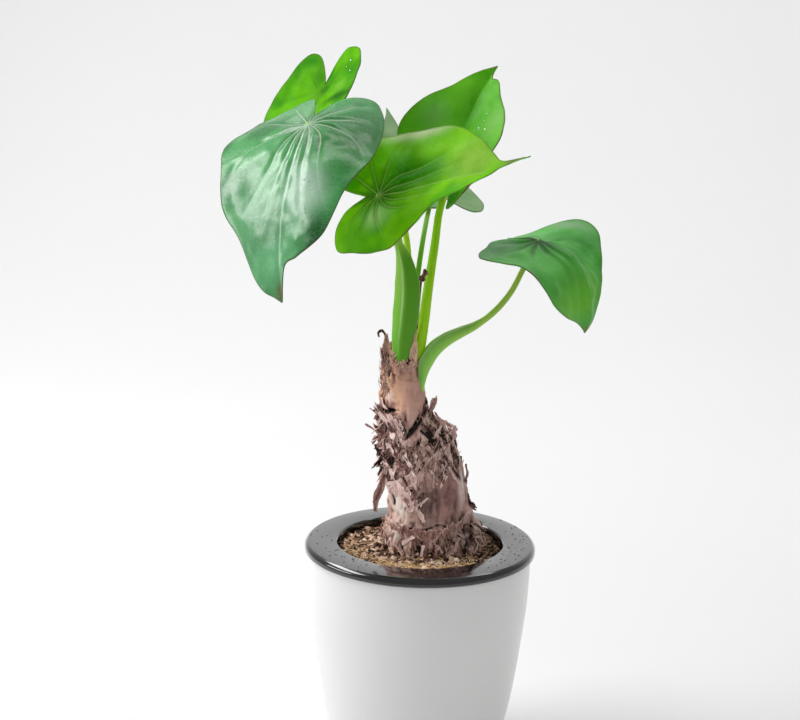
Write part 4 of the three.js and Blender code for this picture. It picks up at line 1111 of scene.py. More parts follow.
def soil_crumbs(look):
    """Loose crumbs and chips, darker at the right and at the back as painted shade, straw at the
    front, and a few specks of soil on the black rim."""
    crumb = look.crumb_size / MM
    rng = np.random.default_rng(5)
    heap, model = Heap(), ball_model(1)
    for _ in range(CRUMBS):
        heading = rng.uniform(0, 2 * math.pi)
        x, y, _ = CRUMB_REACH * math.sqrt(rng.uniform(0.16, 0.94)) * towards(heading)
        near = math.hypot((x - STEM_FOOT[0]) / STEM_FOOT[1], y / STEM_FOOT[2])
        if near < 0.95:
            continue
        front = smooth(*STRAW_FROM, y)
        right = smooth(*SHADED_RIGHT_FROM, x)
        if rng.random() < 0.8 * front * (1 - right):
            tone = rng.uniform(1.1, 1.5)
            size = [rng.uniform(1.6, 4.2), rng.uniform(0.35, 0.8), rng.uniform(0.3, 0.7)]
        elif rng.random() < 0.12:
            tone = rng.uniform(0.7, 1.2) * (1 - 0.6 * right)
            size = [rng.uniform(2.5, 5), rng.uniform(0.35, 0.7), rng.uniform(0.3, 0.6)]
        else:
            tone = rng.choice([rng.uniform(0, 0.35), rng.uniform(0.4, 1.1)])
            # Painted shade: darker at the right and at the back
            tone *= (1 - 0.75 * right) * smooth(55, 30, y)
            grow = rng.choice([rng.uniform(0.5, 0.9), rng.uniform(0.9, 1.9)])
            size = crumb * grow * vec([rng.uniform(1.1, 2.4), rng.uniform(0.9, 1.7), rng.uniform(0.8, 1.4)])
        heap_up = 3.4 * max(0, 1.25 - near) / 0.3 * rng.random()
        z = soil_height(x, y) + rng.uniform(0.1, 0.9) + heap_up
        scatter_chip(heap, model, rng, [x, y, z], size, tone)
    for _ in range(STRAWS):
        heading = rng.normal(-98, 50) * RAD
        x, y, _ = rng.uniform(40, 55.5) * towards(heading)
        foot = vec([x, y, soil_height(x, y) + 1.2])
        way = vec([rng.normal(0, 4), rng.normal(0, 2.5), 0])
        points = [foot, foot + way * 0.5 + [0, 0, rng.uniform(0.3, 1.8)], foot + way]
        if np.hypot(*points[2][:2]) < 56:
            heap.thread(points, rng.uniform(0.18, 0.42), rng.choice([0.15, 0.95, 1.2, 1.4, 1.5]))
    for _ in range(RIM_SPECKS):
        heading = rng.choice([rng.normal(-10, 40), rng.normal(215, 22)]) * RAD
        place = rng.uniform(60, 78.5) * towards(heading) + [0, 0, RIM_TOP + 0.1]
        size = vec([0.5, 0.35, 0.2]) * rng.uniform(0.5, 1.5)
        scatter_chip(heap, model, rng, place, size, rng.uniform(0, 0.3))
    heap.make("soil_crumbs", "soil", "potting_mix", potting_mix("potting_mix_crumbs"), 40)


# Stem

# Coloured places on the stem's front, some of them painted light: the dark hole and slit hold
# painted shade, and the pale streak down the right side and the pale spot on the swelling are
# painted highlights: [x, z, size x, size z, colour, strength, roughness]
STEM_LIGHT_AND_TONE_PATCHES = [
    [-11.9, 278.2, 9, 5, "#836358", 0.8, 0.9],
    [-23.9, 274.6, 5, 11, "#B88A76", 0.8, 1.2],
    [-8.2, 260, 13, 19, "#AE8478", 0.95, 0.2],
    [-24.2, 257.9, 4, 5, "#D5ACA3", 0.9, 0.5],
    [-17.3, 249.7, 3, 3, "#C89A80", 0.8, 0.4],
    [-28, 237, 8, 14, "#5A3A32", 0.8, 1.2],
    [-20.6, 216.8, 7, 10, "#A08176", 0.7, 0.9],
    [1.5, 223, 15, 9, "#CDAEA6", 0.8, 1.1],
    [17.2, 216.3, 4, 8, "#C3B2B0", 0.8, 0.6],
    # painted shade in a slit
    [21.8, 218, 2.2, 7, "#3C201A", 0.9, 1],
    # painted shade in a hole
    [6.8, 227.3, 2.6, 4, "#32140F", 0.95, 1],
    [21, 193, 15, 20, "#765250", 0.9, 0.3],
    [5.5, 187, 8, 15, "#4E3836", 0.85, 0.45],
    [-15, 188, 9, 14, "#E2C2B6", 0.85, 0.5],
    [-9.2, 188.8, 5, 7, "#9A7060", 0.8, 1.2],
    [-14, 163, 8, 8, "#DABBB0", 0.85, 0.8],
    # painted highlight: a pale sheen streak down the right side
    [28.5, 205, 3, 22, "#E6CCC6", 0.7, 0.3],
    # painted highlight on the lit left side of the swelling
    [-17, 262, 4, 10, "#D8A684", 0.6, 0.3],
    [30.3, 163.4, 13, 12, "#2C1A15", 0.9, 1.2],
    [12, 203, 6, 5, "#A87C74", 0.7, 0.3],
    [16, 181, 5, 4, "#9A706A", 0.7, 0.4],
]

# Gaps between the husks on the front, sunk into the stem and darkened with painted shade; some
# paint the shade under the swelling's lower edge: [x, z, half width, half height, lean]
GAPS = [
    [-21.5, 226, 1.1, 8, -0.3], [-16.5, 213, 0.9, 8, -0.3], [-12, 202, 0.9, 5, -0.4], [6.8, 227.3, 3, 4, 0],
    [20.6, 219, 1.3, 8, -0.35], [25, 208, 1, 8, -0.3], [3, 251, 1.8, 5, 0.5], [-2.6, 243, 2, 5, 0.75],
    [-8.6, 235, 2, 5, 0.8], [-25, 247.5, 4, 1.8, 1.5], [-4, 226, 1.2, 5, 0.4], [13.6, 231, 1.1, 5, -0.3],
    [-26.5, 216, 1.3, 6, -0.2], [-1, 213, 1.1, 4, 0.6], [-20, 186, 1, 4, -0.2], [-6, 196, 3, 1.2, 2],
]

# Upper edges of old leaf bases on the stem's front, which lie over it like scales:
# (edge as [x, z] points, depth below it, how far it stands off, tone, raggedness)
SHELLS = [
    ([[-16.8, 223.7], [-12.2, 230.9], [-4.9, 240.2], [1.6, 248.7], [3.5, 254.4], [8.2, 255.2]],
     15, 1.5, 0.72, 2.4),
    ([[-29.6, 255], [-25.4, 250.9], [-19.9, 244.7], [-15, 237.1], [-12.1, 229.5]], 14, 1.4, 0.75, 1.2),
    ([[4.8, 230.6], [8.7, 235.6], [12.7, 238.5], [16.2, 235.8], [19.4, 240.1], [22.3, 235.2]],
     14, 1.3, 0.8, 1.6),
    ([[-17.5, 200], [-12.2, 204.3], [-6.9, 209.4], [-2.8, 207.4]], 13, 1.1, 0.85, 1.8),
    ([[-6.9, 207.3], [-1.6, 213], [3.7, 218.8], [10.3, 223.2], [16.3, 225.4], [21.7, 226.9], [25.1, 223.5]],
     14, 0.6, 0.72, 3.0),
    ([[-25.7, 202.6], [-21.6, 199.2], [-16.2, 200], [-10.7, 196.6], [-5.3, 198.8]], 13, 1.2, 0.9, 1.7),
    ([[-23.7, 169.2], [-17.6, 171.5], [-10.8, 170.3], [2.9, 168.4], [19.9, 170.3], [27.9, 174.7],
      [34.5, 180.6]], 8, 0.4, 0.5, 2.5),
]


def stem_at(z, heading):
    """The stem's outside with its broad ridges, as on the solid but without its facets, with
    the middle and the half width there."""
    fine = np.arange(STEM[0][0], STEM[-1][0] + 0.01, 0.5)
    window = np.ones(9) / 9
    cx, hx, hy = (np.interp(z, fine, np.convolve(np.pad(column, 4, mode="edge"), window, mode="valid"))
                  for column in rows_at(STEM, fine))
    ridges = 0.03 * np.sin(3 * heading + 0.05 * z) + 0.022 * np.sin(7 * heading - 0.09 * z + 1)
    rings = 0.014 * np.sin(0.5 * z + 1.5 * np.sin(heading + 1))
    relief = np.where(z < 150, 0, ridges + rings) + 1
    return np.stack([cx + hx * relief * np.cos(heading), hy * relief * np.sin(heading), z], -1), cx, hx


def stem_skin():
    """Living stem under the dry leaf bases that it has grown and shed: smooth and leathery where
    they came off, pinkish tan to purple brown, with upright fibres, painted shade in its cracks
    and painted highlights on its crests."""
    material, add, spot = new_material("stem_skin")
    cavity, rough = (add("Attribute", attribute_name=key, out="Fac") for key in ("cavity", "rough"))
    long_ = add("Mapping", {"Vector": spot, "Scale": (1, 1, 0.16)})
    fibres = add("TexNoise", {"Vector": long_, "Scale": 1 / 0.9, "Detail": 4, "Roughness": 0.7})
    blotch = add("TexNoise", {"Vector": spot, "Scale": 1 / 3.5, "Detail": 4, "Roughness": 0.65})
    strong = add("Math", {0: rough, 1: 0.75}, operation="MULTIPLY")
    pale = add("MapRange", {"Value": blotch, "From Min": 0.48, "From Max": 0.68})
    pale = add("Math", {0: pale, 1: strong}, operation="MULTIPLY")
    dark = add("MapRange", {"Value": fibres, "From Min": 0.46, "From Max": 0.3})
    dark = add("Math", {0: dark, 1: strong}, operation="MULTIPLY")
    # Painted shade where the skin lies below its neighbours, painted highlights where it stands above them
    crack_shade = add("MapRange", {"Value": cavity, "From Min": 0, "From Max": -0.5, "To Max": 0.97})
    crest_highlight = add("MapRange", {"Value": cavity, "From Min": 0.1, "From Max": 0.6, "To Max": 0.6})
    body = add("Attribute", attribute_name="tint", out="Color")
    for share, code in ((pale, "#D9BBAF"), (dark, "#432A24"), (crack_shade, "#1E0F0C"), (crest_highlight, "#E2C8BC")):
        body = add("Mix", {0: share, 6: body, 7: linear(code)}, data_type="RGBA", out=2)
    height = add("Math", {0: fibres, 1: strong}, operation="MULTIPLY")
    bump = add("Bump", {"Height": height, "Strength": 0.8, "Distance": 0.0008})
    skin = add("BsdfPrincipled", {"Base Color": body, "Roughness": 0.62, "Specular IOR Level": 0.35,
                                  "Normal": bump})
    add("OutputMaterial", {"Surface": skin})
    return material


def dry_husk(name, pale_code):
    """Torn dry leaf base, withered to paper and fibre: matt, from near black to pale pinkish
    tan on its edges, its tone lowered as painted shade in the hollows of its curls and in the
    gaps between the husks."""
    shades = ("#20100D", (0, 0.5, "#BC8E84"), (0.5, 1, pale_code))
    return loose_skin(name, 0.2, 0.8, 4, 0.38, shades, 0.75, 0.3)


def gap_at(x, z):
    """How deep in a gap between the husks a place on the front is, from 0 to 1."""
    deep = 0 * x
    for gx, gz, wide, high, lean in GAPS:
        across = (x - gx - lean * (z - gz)) / wide
        deep = np.maximum(deep, np.exp(-across ** 2 - ((z - gz) / high) ** 4))
    return deep


def stem_colours(points):
    """The stem's colour at each point, with its painted shade and highlights, and how rough it is there."""
    x, z = points[:, 0], points[:, 2]
    broad = smooth(-0.6, 0.6, cloud(points, 12, 9, 3))
    old, new = (blend(linear(deep), linear(pale), broad)
                for deep, pale in (("#8E6A60", "#BA978A"), ("#9C6C52", "#C89674")))
    tint = blend(old, new, smooth(244, 258, z))
    rough = np.full(len(points), 0.85)
    front = smooth(2, -8, points[:, 1])
    for px, pz, wide, high, code, strength, coarse in STEM_LIGHT_AND_TONE_PATCHES:
        far = ((x - px) / wide) ** 2 + ((z - pz) / high) ** 2
        share = strength * np.exp(-far ** 1.5) * front
        tint = blend(tint, linear(code), share)
        rough = rough * (1 - share) + coarse * share
    # Painted shade in the gaps between the husks
    tint = tint * (1 - 0.93 * front * gap_at(x, z))[:, None]
    return np.minimum(tint * STEM_BRIGHTER, 0.92), rough


def neighbours_mean(values, u, v, columns, rows, reach):
    """The values averaged over their neighbours on the sheet, to tell cracks from crests."""
    i = np.rint(u * columns).astype(int)
    j = np.rint(v * rows).astype(int)
    table = np.zeros((rows + 1, columns + 1))
    table[j, i] = values
    span = 2 * reach + 1
    for _ in range(2):
        padded = np.pad(table, ((reach, reach), (0, 0)), mode="edge")
        table = sum(padded[k:k + rows + 1] for k in range(span)) / span
        table = sum(np.roll(table, k, axis=1) for k in range(-reach, reach + 1)) / span
    return table[j, i]


def stem_relief(base, heading, z, rough):
    """How far the stem's skin stands out: its lumps and ruts, the swelling and the scar on
    its front, two rings, and the strands of its foot, which the second value tells apart."""
    front = base[:, 1] < 0
    relief = cloud(base, 15, 1, 2)
    relief += rough * (cloud(base * [1, 1, 0.2], 3.0, 2, 2) * 0.8 + cloud(base, 5, 3, 2) * 0.9)
    swelling = ((base[:, 0] - SWELLING[0]) / 9) ** 2 + ((z - SWELLING[1]) / 11) ** 2
    relief += 3.2 * np.exp(-swelling ** 1.4) * front
    scar = np.hypot(base[:, 0] - SCAR[0], z - SCAR[1])
    relief += (1.8 * np.exp(-(scar / 2.2) ** 2) + 0.9 * np.exp(-((scar - 3.6) / 0.8) ** 2)) * front
    for level, depth in STEM_RINGS:
        bent = z - level - 1.8 * np.sin(heading * 2 + level) - cloud(base, 9, level, 2) * 3.2
        relief -= depth * np.exp(-(bent / 0.8) ** 2) - 0.5 * depth * np.exp(-((bent - 2.2) / 1.4) ** 2)
    strand = np.abs(cloud(np.stack([heading * 34, z * 0.25, 0 * z], 1), 3.4, 12, 2))
    relief -= smooth(170, 160, z) * (2.4 * (1 - strand) * smooth(166, 152, z) - 0.4)
    return relief - 2.2 * gap_at(base[:, 0], z) * front, strand


def stem_body():
    columns, rows = 230, 330
    foot, top = STEM[0][0], STEM[-1][0]
    shown = 143  # the stem's height where it leaves the soil
    hidden_share = 0.08

    def place(u, v):
        z = np.where(v < hidden_share, foot + v / hidden_share * (shown - foot),
                     shown + (v - hidden_share) / (1 - hidden_share) * (top - shown))
        heading = 2 * math.pi * u
        base, _, _ = stem_at(z, heading)
        above = smooth(shown, 150, z)
        tint, rough = stem_colours(base)
        relief, strand = stem_relief(base, heading, z, rough)
        relief *= above
        # Painted shade in the grooves between the strands at the foot
        tint = tint * (1 - 0.4 * (smooth(164, 157, z) * smooth(0.5, 0.1, strand))[:, None])
        # How far the skin stands above its neighbours, which the material paints as shade and highlight
        cavity = (relief - neighbours_mean(relief, u, v, columns, rows, 3)) * above
        points = base + towards(heading) * (relief - 0.8 * above * smooth(270, 262, z))[:, None]
        return points, {"tint": tint, "cavity": cavity, "rough": rough}

    body = sheet("stem_body", columns, rows, place, closed=True, fill=True)
    shade(body)
    finish_piece(body, "stem", "old_stem", stem_skin())


def on_front(x, z, off):
    """A point over the stem's front, from its place as seen, standing off by some mm."""
    _, cx, hx = stem_at(z, 0 * z)
    heading = -np.arccos(np.clip((x - cx) / hx, -0.985, 0.985))
    point, _, _ = stem_at(z, heading)
    return point + towards(heading) * off[..., None]


def shell(heap, rng, edge, depth, lift, tone, ragged):
    """A scale of old leaf base: its torn upper edge stands off, its foot runs into the stem."""
    edge = vec(edge)
    run = np.concatenate([[0], np.cumsum(np.hypot(*np.diff(edge, axis=0).T))])
    columns, rows = int(run[-1] / 0.8) + 4, int(depth / 0.9) + 3
    s = np.linspace(0, run[-1], columns)
    x, z = np.interp(s, run, edge[:, 0]), np.interp(s, run, edge[:, 1])
    seed = rng.uniform(0, 50)
    torn = cloud(np.stack([s, 0 * s + seed, 0 * s], 1), 3.2, 1, 3) * ragged
    torn += np.abs(cloud(np.stack([s, 0 * s + seed, 0 * s], 1), 1.2, 2)) * ragged * 0.7
    t = np.linspace(0, 1, rows)[:, None]
    ends = smooth(0, 0.12, s / run[-1]) * smooth(1, 0.88, s / run[-1])
    zz = (z + torn)[None] - depth * t
    xx = x[None] + 0.08 * depth * t * np.sign(x)[None] + 0 * zz
    folds = cloud(np.stack([xx.ravel() * 1.6, 0 * xx.ravel() + seed, zz.ravel() * 0.3], 1), 3.5, 3, 2)
    off = lift * ends[None] * np.exp(-t / 0.3) + 0.5 - 1.7 * t ** 1.5 + 0.45 * folds.reshape(zz.shape)
    off -= 1.2 * (1 - ends[None])
    gap = gap_at(xx, zz)
    off -= 1.4 * gap
    # Paler at the torn edge; paler on the raised folds, darker in the sunk ones and in the gaps, as painted
    # light and shade
    tones = tone + 0.3 * np.exp(-t / 0.08) + 0.3 * folds.reshape(zz.shape) - 1.5 * gap
    heap.plate(on_front(xx, zz, off), SHELL, tones)


def torn_strip(heap, rng, points, width, facing, tone, steps, across):
    """A torn strip of husk: thin, curled across, with ragged edges and a split tip."""
    centre, tangent, side, up = swept(points, steps, facing)
    t = np.linspace(0, 1, steps + 1)[:, None]
    s = np.linspace(-1, 1, across + 1)[None]
    seed = rng.uniform(0, 60)
    half = width[0] + (width[1] - width[0]) * t
    fray = 1 + 0.3 * np.sin(9 * t + seed) * np.abs(s) + rng.uniform(-0.12, 0.12, (steps + 1, across + 1))
    curl = rng.uniform(0.05, 0.55)
    lift = curl * half * s ** 2 * (0.4 + t) + 0.15 * half * np.sin(8 * t + seed + 2 * s)
    slide = np.where(t > 0.6, t, 0) * rng.uniform(-1, 1, (1, across + 1)) * width[0] * 0.45
    grid = centre[:, None] + side[:, None] * (s * half * fray)[..., None] + up[:, None] * lift[..., None]
    grid = grid + tangent[:, None] * slide[..., None]
    # Paler at the edges, darker down the middle as painted shade in the hollow of the curl
    tones = tone + 0.25 * (np.abs(s) - 0.5) + rng.uniform(-0.06, 0.06, (steps + 1, 1))
    heap.plate(grid, HUSK, tones)


# Where loose husk stands: (count, heading and its spread in degrees, heights, lengths, half
# widths, leans in degrees, tones, share that hangs down)
SCRAPS = [
    (60, 178, 22, (203, 246), (5, 11), (1.6, 4.2), (8, 55), (0, 1.25), 0.6),
    (44, -150, 22, (200, 246), (5, 12), (1.3, 3.6), (0, 26), (0, 1.25), 0.5),
    (34, -118, 16, (204, 240), (4, 11), (1.1, 3), (0, 18), (0.15, 1.5), 0.5),
    (46, -88, 18, (205, 226), (3, 8), (0.4, 1.3), (0, 12), (0.2, 1.3), 0.5),
    (26, -40, 26, (226, 246), (4, 9), (0.9, 2.6), (0, 14), (0.1, 1.1), 0.2),
    (40, -40, 30, (206, 230), (4, 10), (0.6, 1.8), (0, 8), (0, 1), 0.2),
    (44, -138, 20, (261, 283), (4, 8), (0.5, 1.5), (0, 9), (0.1, 1.2), 0.3),
    (30, -112, 10, (181, 199), (3, 8), (0.6, 1.8), (0, 12), (0.1, 1.2), 0.5),
    (60, 70, 85, (190, 246), (6, 13), (1.4, 4), (2, 26), (0, 1), 0.35),
    (30, -150, 50, (150, 165), (4, 8), (0.5, 1.4), (0, 14), (0.25, 1.3), 0.7),
    (40, -30, 60, (150, 166), (4, 8), (0.5, 1.3), (0, 14), (-0.1, 0.7), 0.7),
    (34, 90, 175, (277, 284), (4, 8), (0.9, 2.2), (0, 10), (0, 0.8), 0),
    (26, -100, 60, (279, 284), (2.5, 5), (0.8, 1.8), (0, 8), (0, 0.7), 0),
]

# Where loose threads stand: (count, heading and its spread in degrees, lowest, highest)
FIBRES = [
    (150, 176, 26, 203, 248), (90, -130, 34, 200, 246), (190, -92, 26, 200, 232), (90, -40, 30, 205, 250),
    (90, -138, 22, 260, 284), (260, 0, 180, 149, 167), (60, 80, 90, 195, 248), (40, 0, 180, 276, 285),
]


def scatter_scraps(rng, husks, crown):
    """The small scraps of torn husk, each with its foot in the stem's skin."""
    for count, head, spread, levels, lengths, halves, leans, tones, hanging in SCRAPS:
        for _ in range(count):
            heading = (head + rng.uniform(-spread, spread)) * RAD
            z, reach = rng.uniform(*levels), rng.uniform(*lengths)
            lean, way = rng.uniform(*leans) * RAD, -1 if rng.random() < hanging else 1
            drift = rng.uniform(-0.28, 0.28)
            points = []
            for share in np.linspace(0, 1, 5):
                level = z + way * reach * share * math.cos(lean)
                foot = stem_at(min(level, STEM[-1][0] - 1), heading + drift * share)[0]
                off = -0.5 + reach * (math.sin(lean) * share + 0.1 * share ** 2)
                points.append(foot * [1, 1, 0] + towards(heading) * off + [0, 0, level])
            half = rng.uniform(*halves)
            low, high = tones
            tone = rng.choice([rng.uniform(low, 0.35), rng.uniform(0.65, high)])
            # Painted shade on scraps that lie in a gap between the husks
            if math.sin(heading) < 0:
                tone -= 1.2 * gap_at(stem_at(z, heading)[0][0], z)
            torn_strip(crown if z > CROWN - 5 else husks, rng, points, [half, half * rng.uniform(0.3, 0.85)],
                       towards(heading, 0.2), tone, steps=6, across=3)


def scatter_fibres(rng, heap):
    """Loose threads all over the old leaf bases."""
    for count, head, spread, low, high in FIBRES:
        for _ in range(count):
            heading = (head + rng.uniform(-spread, spread)) * RAD
            z = rng.uniform(low, high)
            foot = stem_at(z, heading)[0]
            aside = towards(heading + math.pi / 2) * rng.normal(0, 2.2)
            length = rng.uniform(3, 9)
            rise = length * (rng.normal(0, 0.6) if z < 250 else rng.uniform(0.2, 1))
            off = rng.uniform(0.4, 0.22 * length + 0.5) * towards(heading)
            points = [foot - towards(heading) * 0.6, foot + off * 1.2 + aside * 0.4 + [0, 0, rise * 0.5],
                      foot + off + aside + [0, 0, rise]]
            if min(point[2] for point in points) > SOIL_LEVEL + 2:
                heap.thread(points, rng.uniform(0.14, 0.34), rng.uniform(0.2, 1.15), steps=6)


def husk_pieces():
    rng = np.random.default_rng(11)
    husks, crown, fibres = Heap(), Heap(), Heap()
    for edge, depth, lift, tone, ragged in SHELLS:
        shell(husks, rng, edge, depth, lift, tone, ragged)
    for points, width, facing, tone in REMAINS:
        target = crown if points[0][2] > CROWN else husks
        torn_strip(target, rng, points, width, facing, tone, steps=20, across=6)
    scatter_scraps(rng, husks, crown)
    husks.make("stem_husks", "stem", "old_stem", dry_husk("dry_husk", "#FFE2DA"), 50)
    crown.make("crown_sheaths", "stem", "old_stem", dry_husk("dry_sheath", "#F4CCAE"), 50)
    scatter_fibres(rng, fibres)
    fibres.make("stem_fibres", "stem", "old_stem", dry_husk("dry_fibre", "#E9D2BE"), 0)


# Water drops

# Where drops lie on a blade: [across, along, spread across, spread along], in blade lengths
DROP_SPOTS = {
    "leaf_front_left": ([0.33, 0.16, 0.07, 0.1], [-0.2, 0.62, 0.08, 0.1], [0.1, -0.16, 0.1, 0.05],
                        [0.3, 0, 0.1, 0.05]),
    "leaf_back_right": ([0.3, 0.42, 0.12, 0.1],),
    "leaf_right": ([-0.4, 0.02, 0.04, 0.16],),
    "leaf_back_left": ([-0.27, -0.05, 0.06, 0.1],),
}


def water():
    """Water, sprayed on as drops: clear and very glossy, each with a small bright light."""
    material, add, _ = new_material("water")
    skin = add("BsdfPrincipled", {"Base Color": linear("#EAF4F0"), "Roughness": 0.03, "IOR": 1.33,
                                  "Transmission Weight": 0.9, "Specular IOR Level": 0.6})
    add("OutputMaterial", {"Surface": skin})
    return material


def leaf_drops(rng, model, name, spots, largest):
    leaf, heap = LEAVES[name], Heap()
    wide_part = vec(MARGIN[:8])[::-1]
    for x, y, wide, long_ in spots:
        for _ in range(DROPS_A_SPOT):
            flat = vec([[rng.normal(x, wide), rng.normal(y, long_)]])
            edge = np.interp(flat[0, 1], wide_part[:, 1], wide_part[:, 0], left=0, right=0)
            if abs(flat[0, 0]) > 0.85 * edge:
                continue
            up = blade_normal(leaf, flat)[0]
            radius = largest * rng.uniform(0.37, 1)
            side = unit(np.cross(up, [0.2, 0.9, 0.1]))
            turn = np.stack([side, np.cross(up, side), up])
            points = (model[0] * [radius, radius * rng.uniform(0.7, 1), radius * 0.5]) @ turn
            heap.add(points + on_blade(leaf, flat)[0] + up * 0.55, model[1], 0.5)
    heap.make("drops_" + name.replace("leaf_", ""), name, LEAF_LOOKS[name]["slot"], water())


def drops_piece(look):
    """Drops on four of the leaves and on the black rim."""
    rng = np.random.default_rng(3)
    model = ball_model(2)
    for name, spots in DROP_SPOTS.items():
        leaf_drops(rng, model, name, spots, look.drop_size / MM)
    heap = Heap()
    for _ in range(RIM_DROPS):
        heading = rng.choice([rng.normal(-8, 26), rng.normal(-140, 16)]) * RAD
        place = rng.uniform(61, 77) * towards(heading) + [0, 0, RIM_TOP]
        size = rng.uniform(0.4, 1.1)
        heap.add(model[0] * [size, size * rng.uniform(0.7, 1), size * 0.35] + place, model[1], 0.5)
    heap.make("drops_rim", "inner_pot", "black_plastic", water())


# Stage


def pale_paper():
    """The stage: a roll of smooth pale paper, matt, which gives the eye no edge to rest on."""
    material, add, spot = new_material("pale_paper")
    broad = add("TexNoise", {"Vector": spot, "Scale": 1 / 400, "Detail": 2})
    tone = add("Mix", {0: broad, 6: linear("#EFEFEF"), 7: linear("#EBEBEB")}, data_type="RGBA", out=2)
    skin = add("BsdfPrincipled", {"Base Color": tone, "Roughness": 0.9, "Specular IOR Level": 0.1})
    add("OutputMaterial", {"Surface": skin})
    return material


def softbox(name, direction, distance, aim, size, power, tint="#FFFFFF"):
    """A soft light. direction: degrees round from +Y towards +X, and degrees up."""
    round_, up = (v * RAD for v in direction)
    way = Vector((math.sin(round_) * math.cos(up), math.cos(round_) * math.cos(up), math.sin(up)))
    data = bpy.data.lights.new(name, "AREA")
    data.shape = "RECTANGLE"
    data.size, data.size_y = size
    data.energy = power
    data.color = linear(tint)[:3]
    lamp = bpy.data.objects.new(name, data)
    bpy.context.scene.collection.objects.link(lamp)
    lamp.location = Vector(aim) + way * distance
    lamp.rotation_euler = way.to_track_quat("Z", "Y").to_euler()


def backdrop():
    """A floor that bends up into the wall behind."""

    def place(u, v):
        run = v * BACKDROP_RUN
        past = np.clip((run - FLOOR_DEPTH) / BEND, 0, math.pi / 2)
        y = np.where(run < FLOOR_DEPTH, run, FLOOR_DEPTH + BEND * np.sin(past)) - FLOOR_FRONT
        z = BEND * (1 - np.cos(past)) + np.maximum(run - FLOOR_DEPTH - BEND * math.pi / 2, 0)
        return np.stack([(u - 0.5) * FLOOR_WIDTH, y, z], 1), {}

    floor = sheet("floor", 8, 90, place)
    shade(floor)
    floor.data.materials.append(pale_paper())


def stage_piece(look):
    """The backdrop, four soft lights, a pale room all round and the camera."""
    backdrop()
    plant = (-0.02, 0, 0.32)
    softbox("window", (-80, 42), 1.5, plant, (1.35, 0.42), look.window_power, "#FEFEFF")
    softbox("low_window", (-95, 10), 1.6, plant, (0.9, 0.3), look.low_power, "#FBFCFF")
    softbox("overhead", (20, 80), 2.0, (0, 0.6, 0.2), (2.4, 1.6), look.top_power)
    softbox("wall_wash", (180, 60), 2.2, (0.6, 1.9, 0.9), (3.0, 1.0), look.wall_power)
    scene = bpy.context.scene
    scene.world = bpy.data.worlds.new("pale_room")
    scene.world.use_nodes = True
    background = scene.world.node_tree.nodes["Background"]
    background.inputs["Color"].default_value = linear("#F3F3F3")
    background.inputs["Strength"].default_value = look.room
    camera = bpy.data.objects.new("camera", bpy.data.cameras.new("camera"))
    scene.collection.objects.link(camera)
    camera.data.lens = LENS
    camera.data.sensor_width = 36
    camera.location = CAMERA_PLACE
    tilt = Euler(((90 - CAMERA_DOWN) * RAD, 0, 0)).to_matrix()
    camera.rotation_euler = (tilt @ Euler((0, 0, CAMERA_ROLL * RAD)).to_matrix()).to_euler()
    scene.camera = camera
    scene.view_settings.view_transform = "Standard"


# The add-on


class TaroLook(bpy.types.PropertyGroup):
    """Values of the plant and its stage that a user would change"""

    vein_relief: bpy.props.FloatProperty(
        name="Vein relief", description="How deep the blades are creased at their veins, against the photo",
        default=1.0, min=0, max=3, subtype="FACTOR")
    crumb_size: bpy.props.FloatProperty(
        name="Crumb size", description="Half the usual size of a crumb of the soil", default=0.00085, min=0,
        unit="LENGTH")
    drop_size: bpy.props.FloatProperty(
        name="Drop size", description="Radius of the largest water drops on the leaves",
        default=0.00075, min=0, unit="LENGTH")
    pot_white: bpy.props.FloatVectorProperty(
        name="White pot", description="Colour of the outer pot", default=linear("#F5F5F4")[:3], size=3,
        min=0, max=1, subtype="COLOR")
    pot_black: bpy.props.FloatVectorProperty(
        name="Black pot", description="Colour of the inner pot", default=linear("#08080A")[:3], size=3,
        min=0, max=1, subtype="COLOR")
    window_power: bpy.props.FloatProperty(
        name="Window", description="Power of the tall light at the left", default=15, min=0, unit="POWER")
    low_power: bpy.props.FloatProperty(
        name="Low window", description="Power of the low light at the left", default=5, min=0, unit="POWER")
    top_power: bpy.props.FloatProperty(
        name="Overhead", description="Power of the light overhead", default=5, min=0, unit="POWER")
    wall_power: bpy.props.FloatProperty(
        name="Wall light", description="Power of the light on the backdrop", default=31, min=0, unit="POWER")
    room: bpy.props.FloatProperty(
        name="Room light", description="Strength of the pale room all round", default=0.39, min=0)


class TARO_OT_pots(bpy.types.Operator):
    """Raise the white pot and the black inner pot, and finish the wick"""

    bl_idname = "taro.pots"
    bl_label = "Pots and wick"

    def execute(self, context):
        white_pot_piece(context.scene.taro_look)
        black_pot_piece(context.scene.taro_look)
        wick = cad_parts["wick"]
        wick.data.materials.clear()
        wick.data.materials.append(cotton())
        return {"FINISHED"}


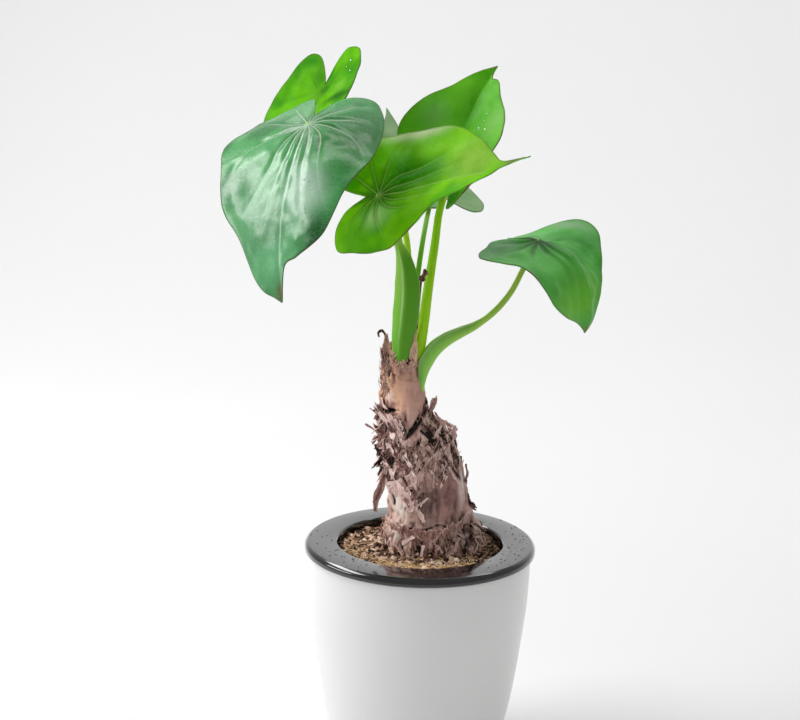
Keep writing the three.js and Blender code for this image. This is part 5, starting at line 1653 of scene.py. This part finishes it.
class TARO_OT_soil(bpy.types.Operator):
    """Make the crumbly soil with its chips and fibres"""

    bl_idname = "taro.soil"
    bl_label = "Soil"

    def execute(self, context):
        soil_bed()
        soil_crumbs(context.scene.taro_look)
        return {"FINISHED"}


class TARO_OT_stem(bpy.types.Operator):
    """Make the old stem with its husks and fibres"""

    bl_idname = "taro.stem"
    bl_label = "Old stem"

    def execute(self, context):
        stem_body()
        husk_pieces()
        return {"FINISHED"}


class TARO_OT_leaves(bpy.types.Operator):
    """Grow the leaves: blades, stalks and sheaths"""

    bl_idname = "taro.leaves"
    bl_label = "Leaves"

    def execute(self, context):
        for name in LEAVES:
            leaf_piece(name, BLADE_SPOKES, BLADE_RINGS, context.scene.taro_look.vein_relief)
        return {"FINISHED"}


class TARO_OT_drops(bpy.types.Operator):
    """Set a few water drops on the leaves and the rim"""

    bl_idname = "taro.drops"
    bl_label = "Water drops"

    def execute(self, context):
        drops_piece(context.scene.taro_look)
        return {"FINISHED"}


class TARO_OT_stage(bpy.types.Operator):
    """Set the pale stage, the soft lights and the camera"""

    bl_idname = "taro.stage"
    bl_label = "Stage"

    def execute(self, context):
        stage_piece(context.scene.taro_look)
        return {"FINISHED"}


class TARO_PT_panel(bpy.types.Panel):
    """Lists the steps that make the plant"""

    bl_idname = "TARO_PT_panel"
    bl_label = "Potted Taro"
    bl_space_type = "VIEW_3D"
    bl_region_type = "UI"
    bl_category = "Taro"

    def draw(self, context):
        look = context.scene.taro_look
        for name in TaroLook.__annotations__:
            self.layout.prop(look, name)
        for step in STEPS:
            self.layout.operator(step.bl_idname)


STEPS = (TARO_OT_pots, TARO_OT_soil, TARO_OT_stem, TARO_OT_leaves, TARO_OT_drops, TARO_OT_stage)
CLASSES = (TaroLook,) + STEPS + (TARO_PT_panel,)


def register():
    for cls in CLASSES:
        bpy.utils.register_class(cls)
    bpy.types.Scene.taro_look = bpy.props.PointerProperty(type=TaroLook)


def unregister():
    del bpy.types.Scene.taro_look
    for cls in reversed(CLASSES):
        bpy.utils.unregister_class(cls)


def main():
    register()
    for step in STEPS:
        group, name = step.bl_idname.split(".")
        getattr(getattr(bpy.ops, group), name)()
    deselect()


if __name__ == "__main__":
    main()
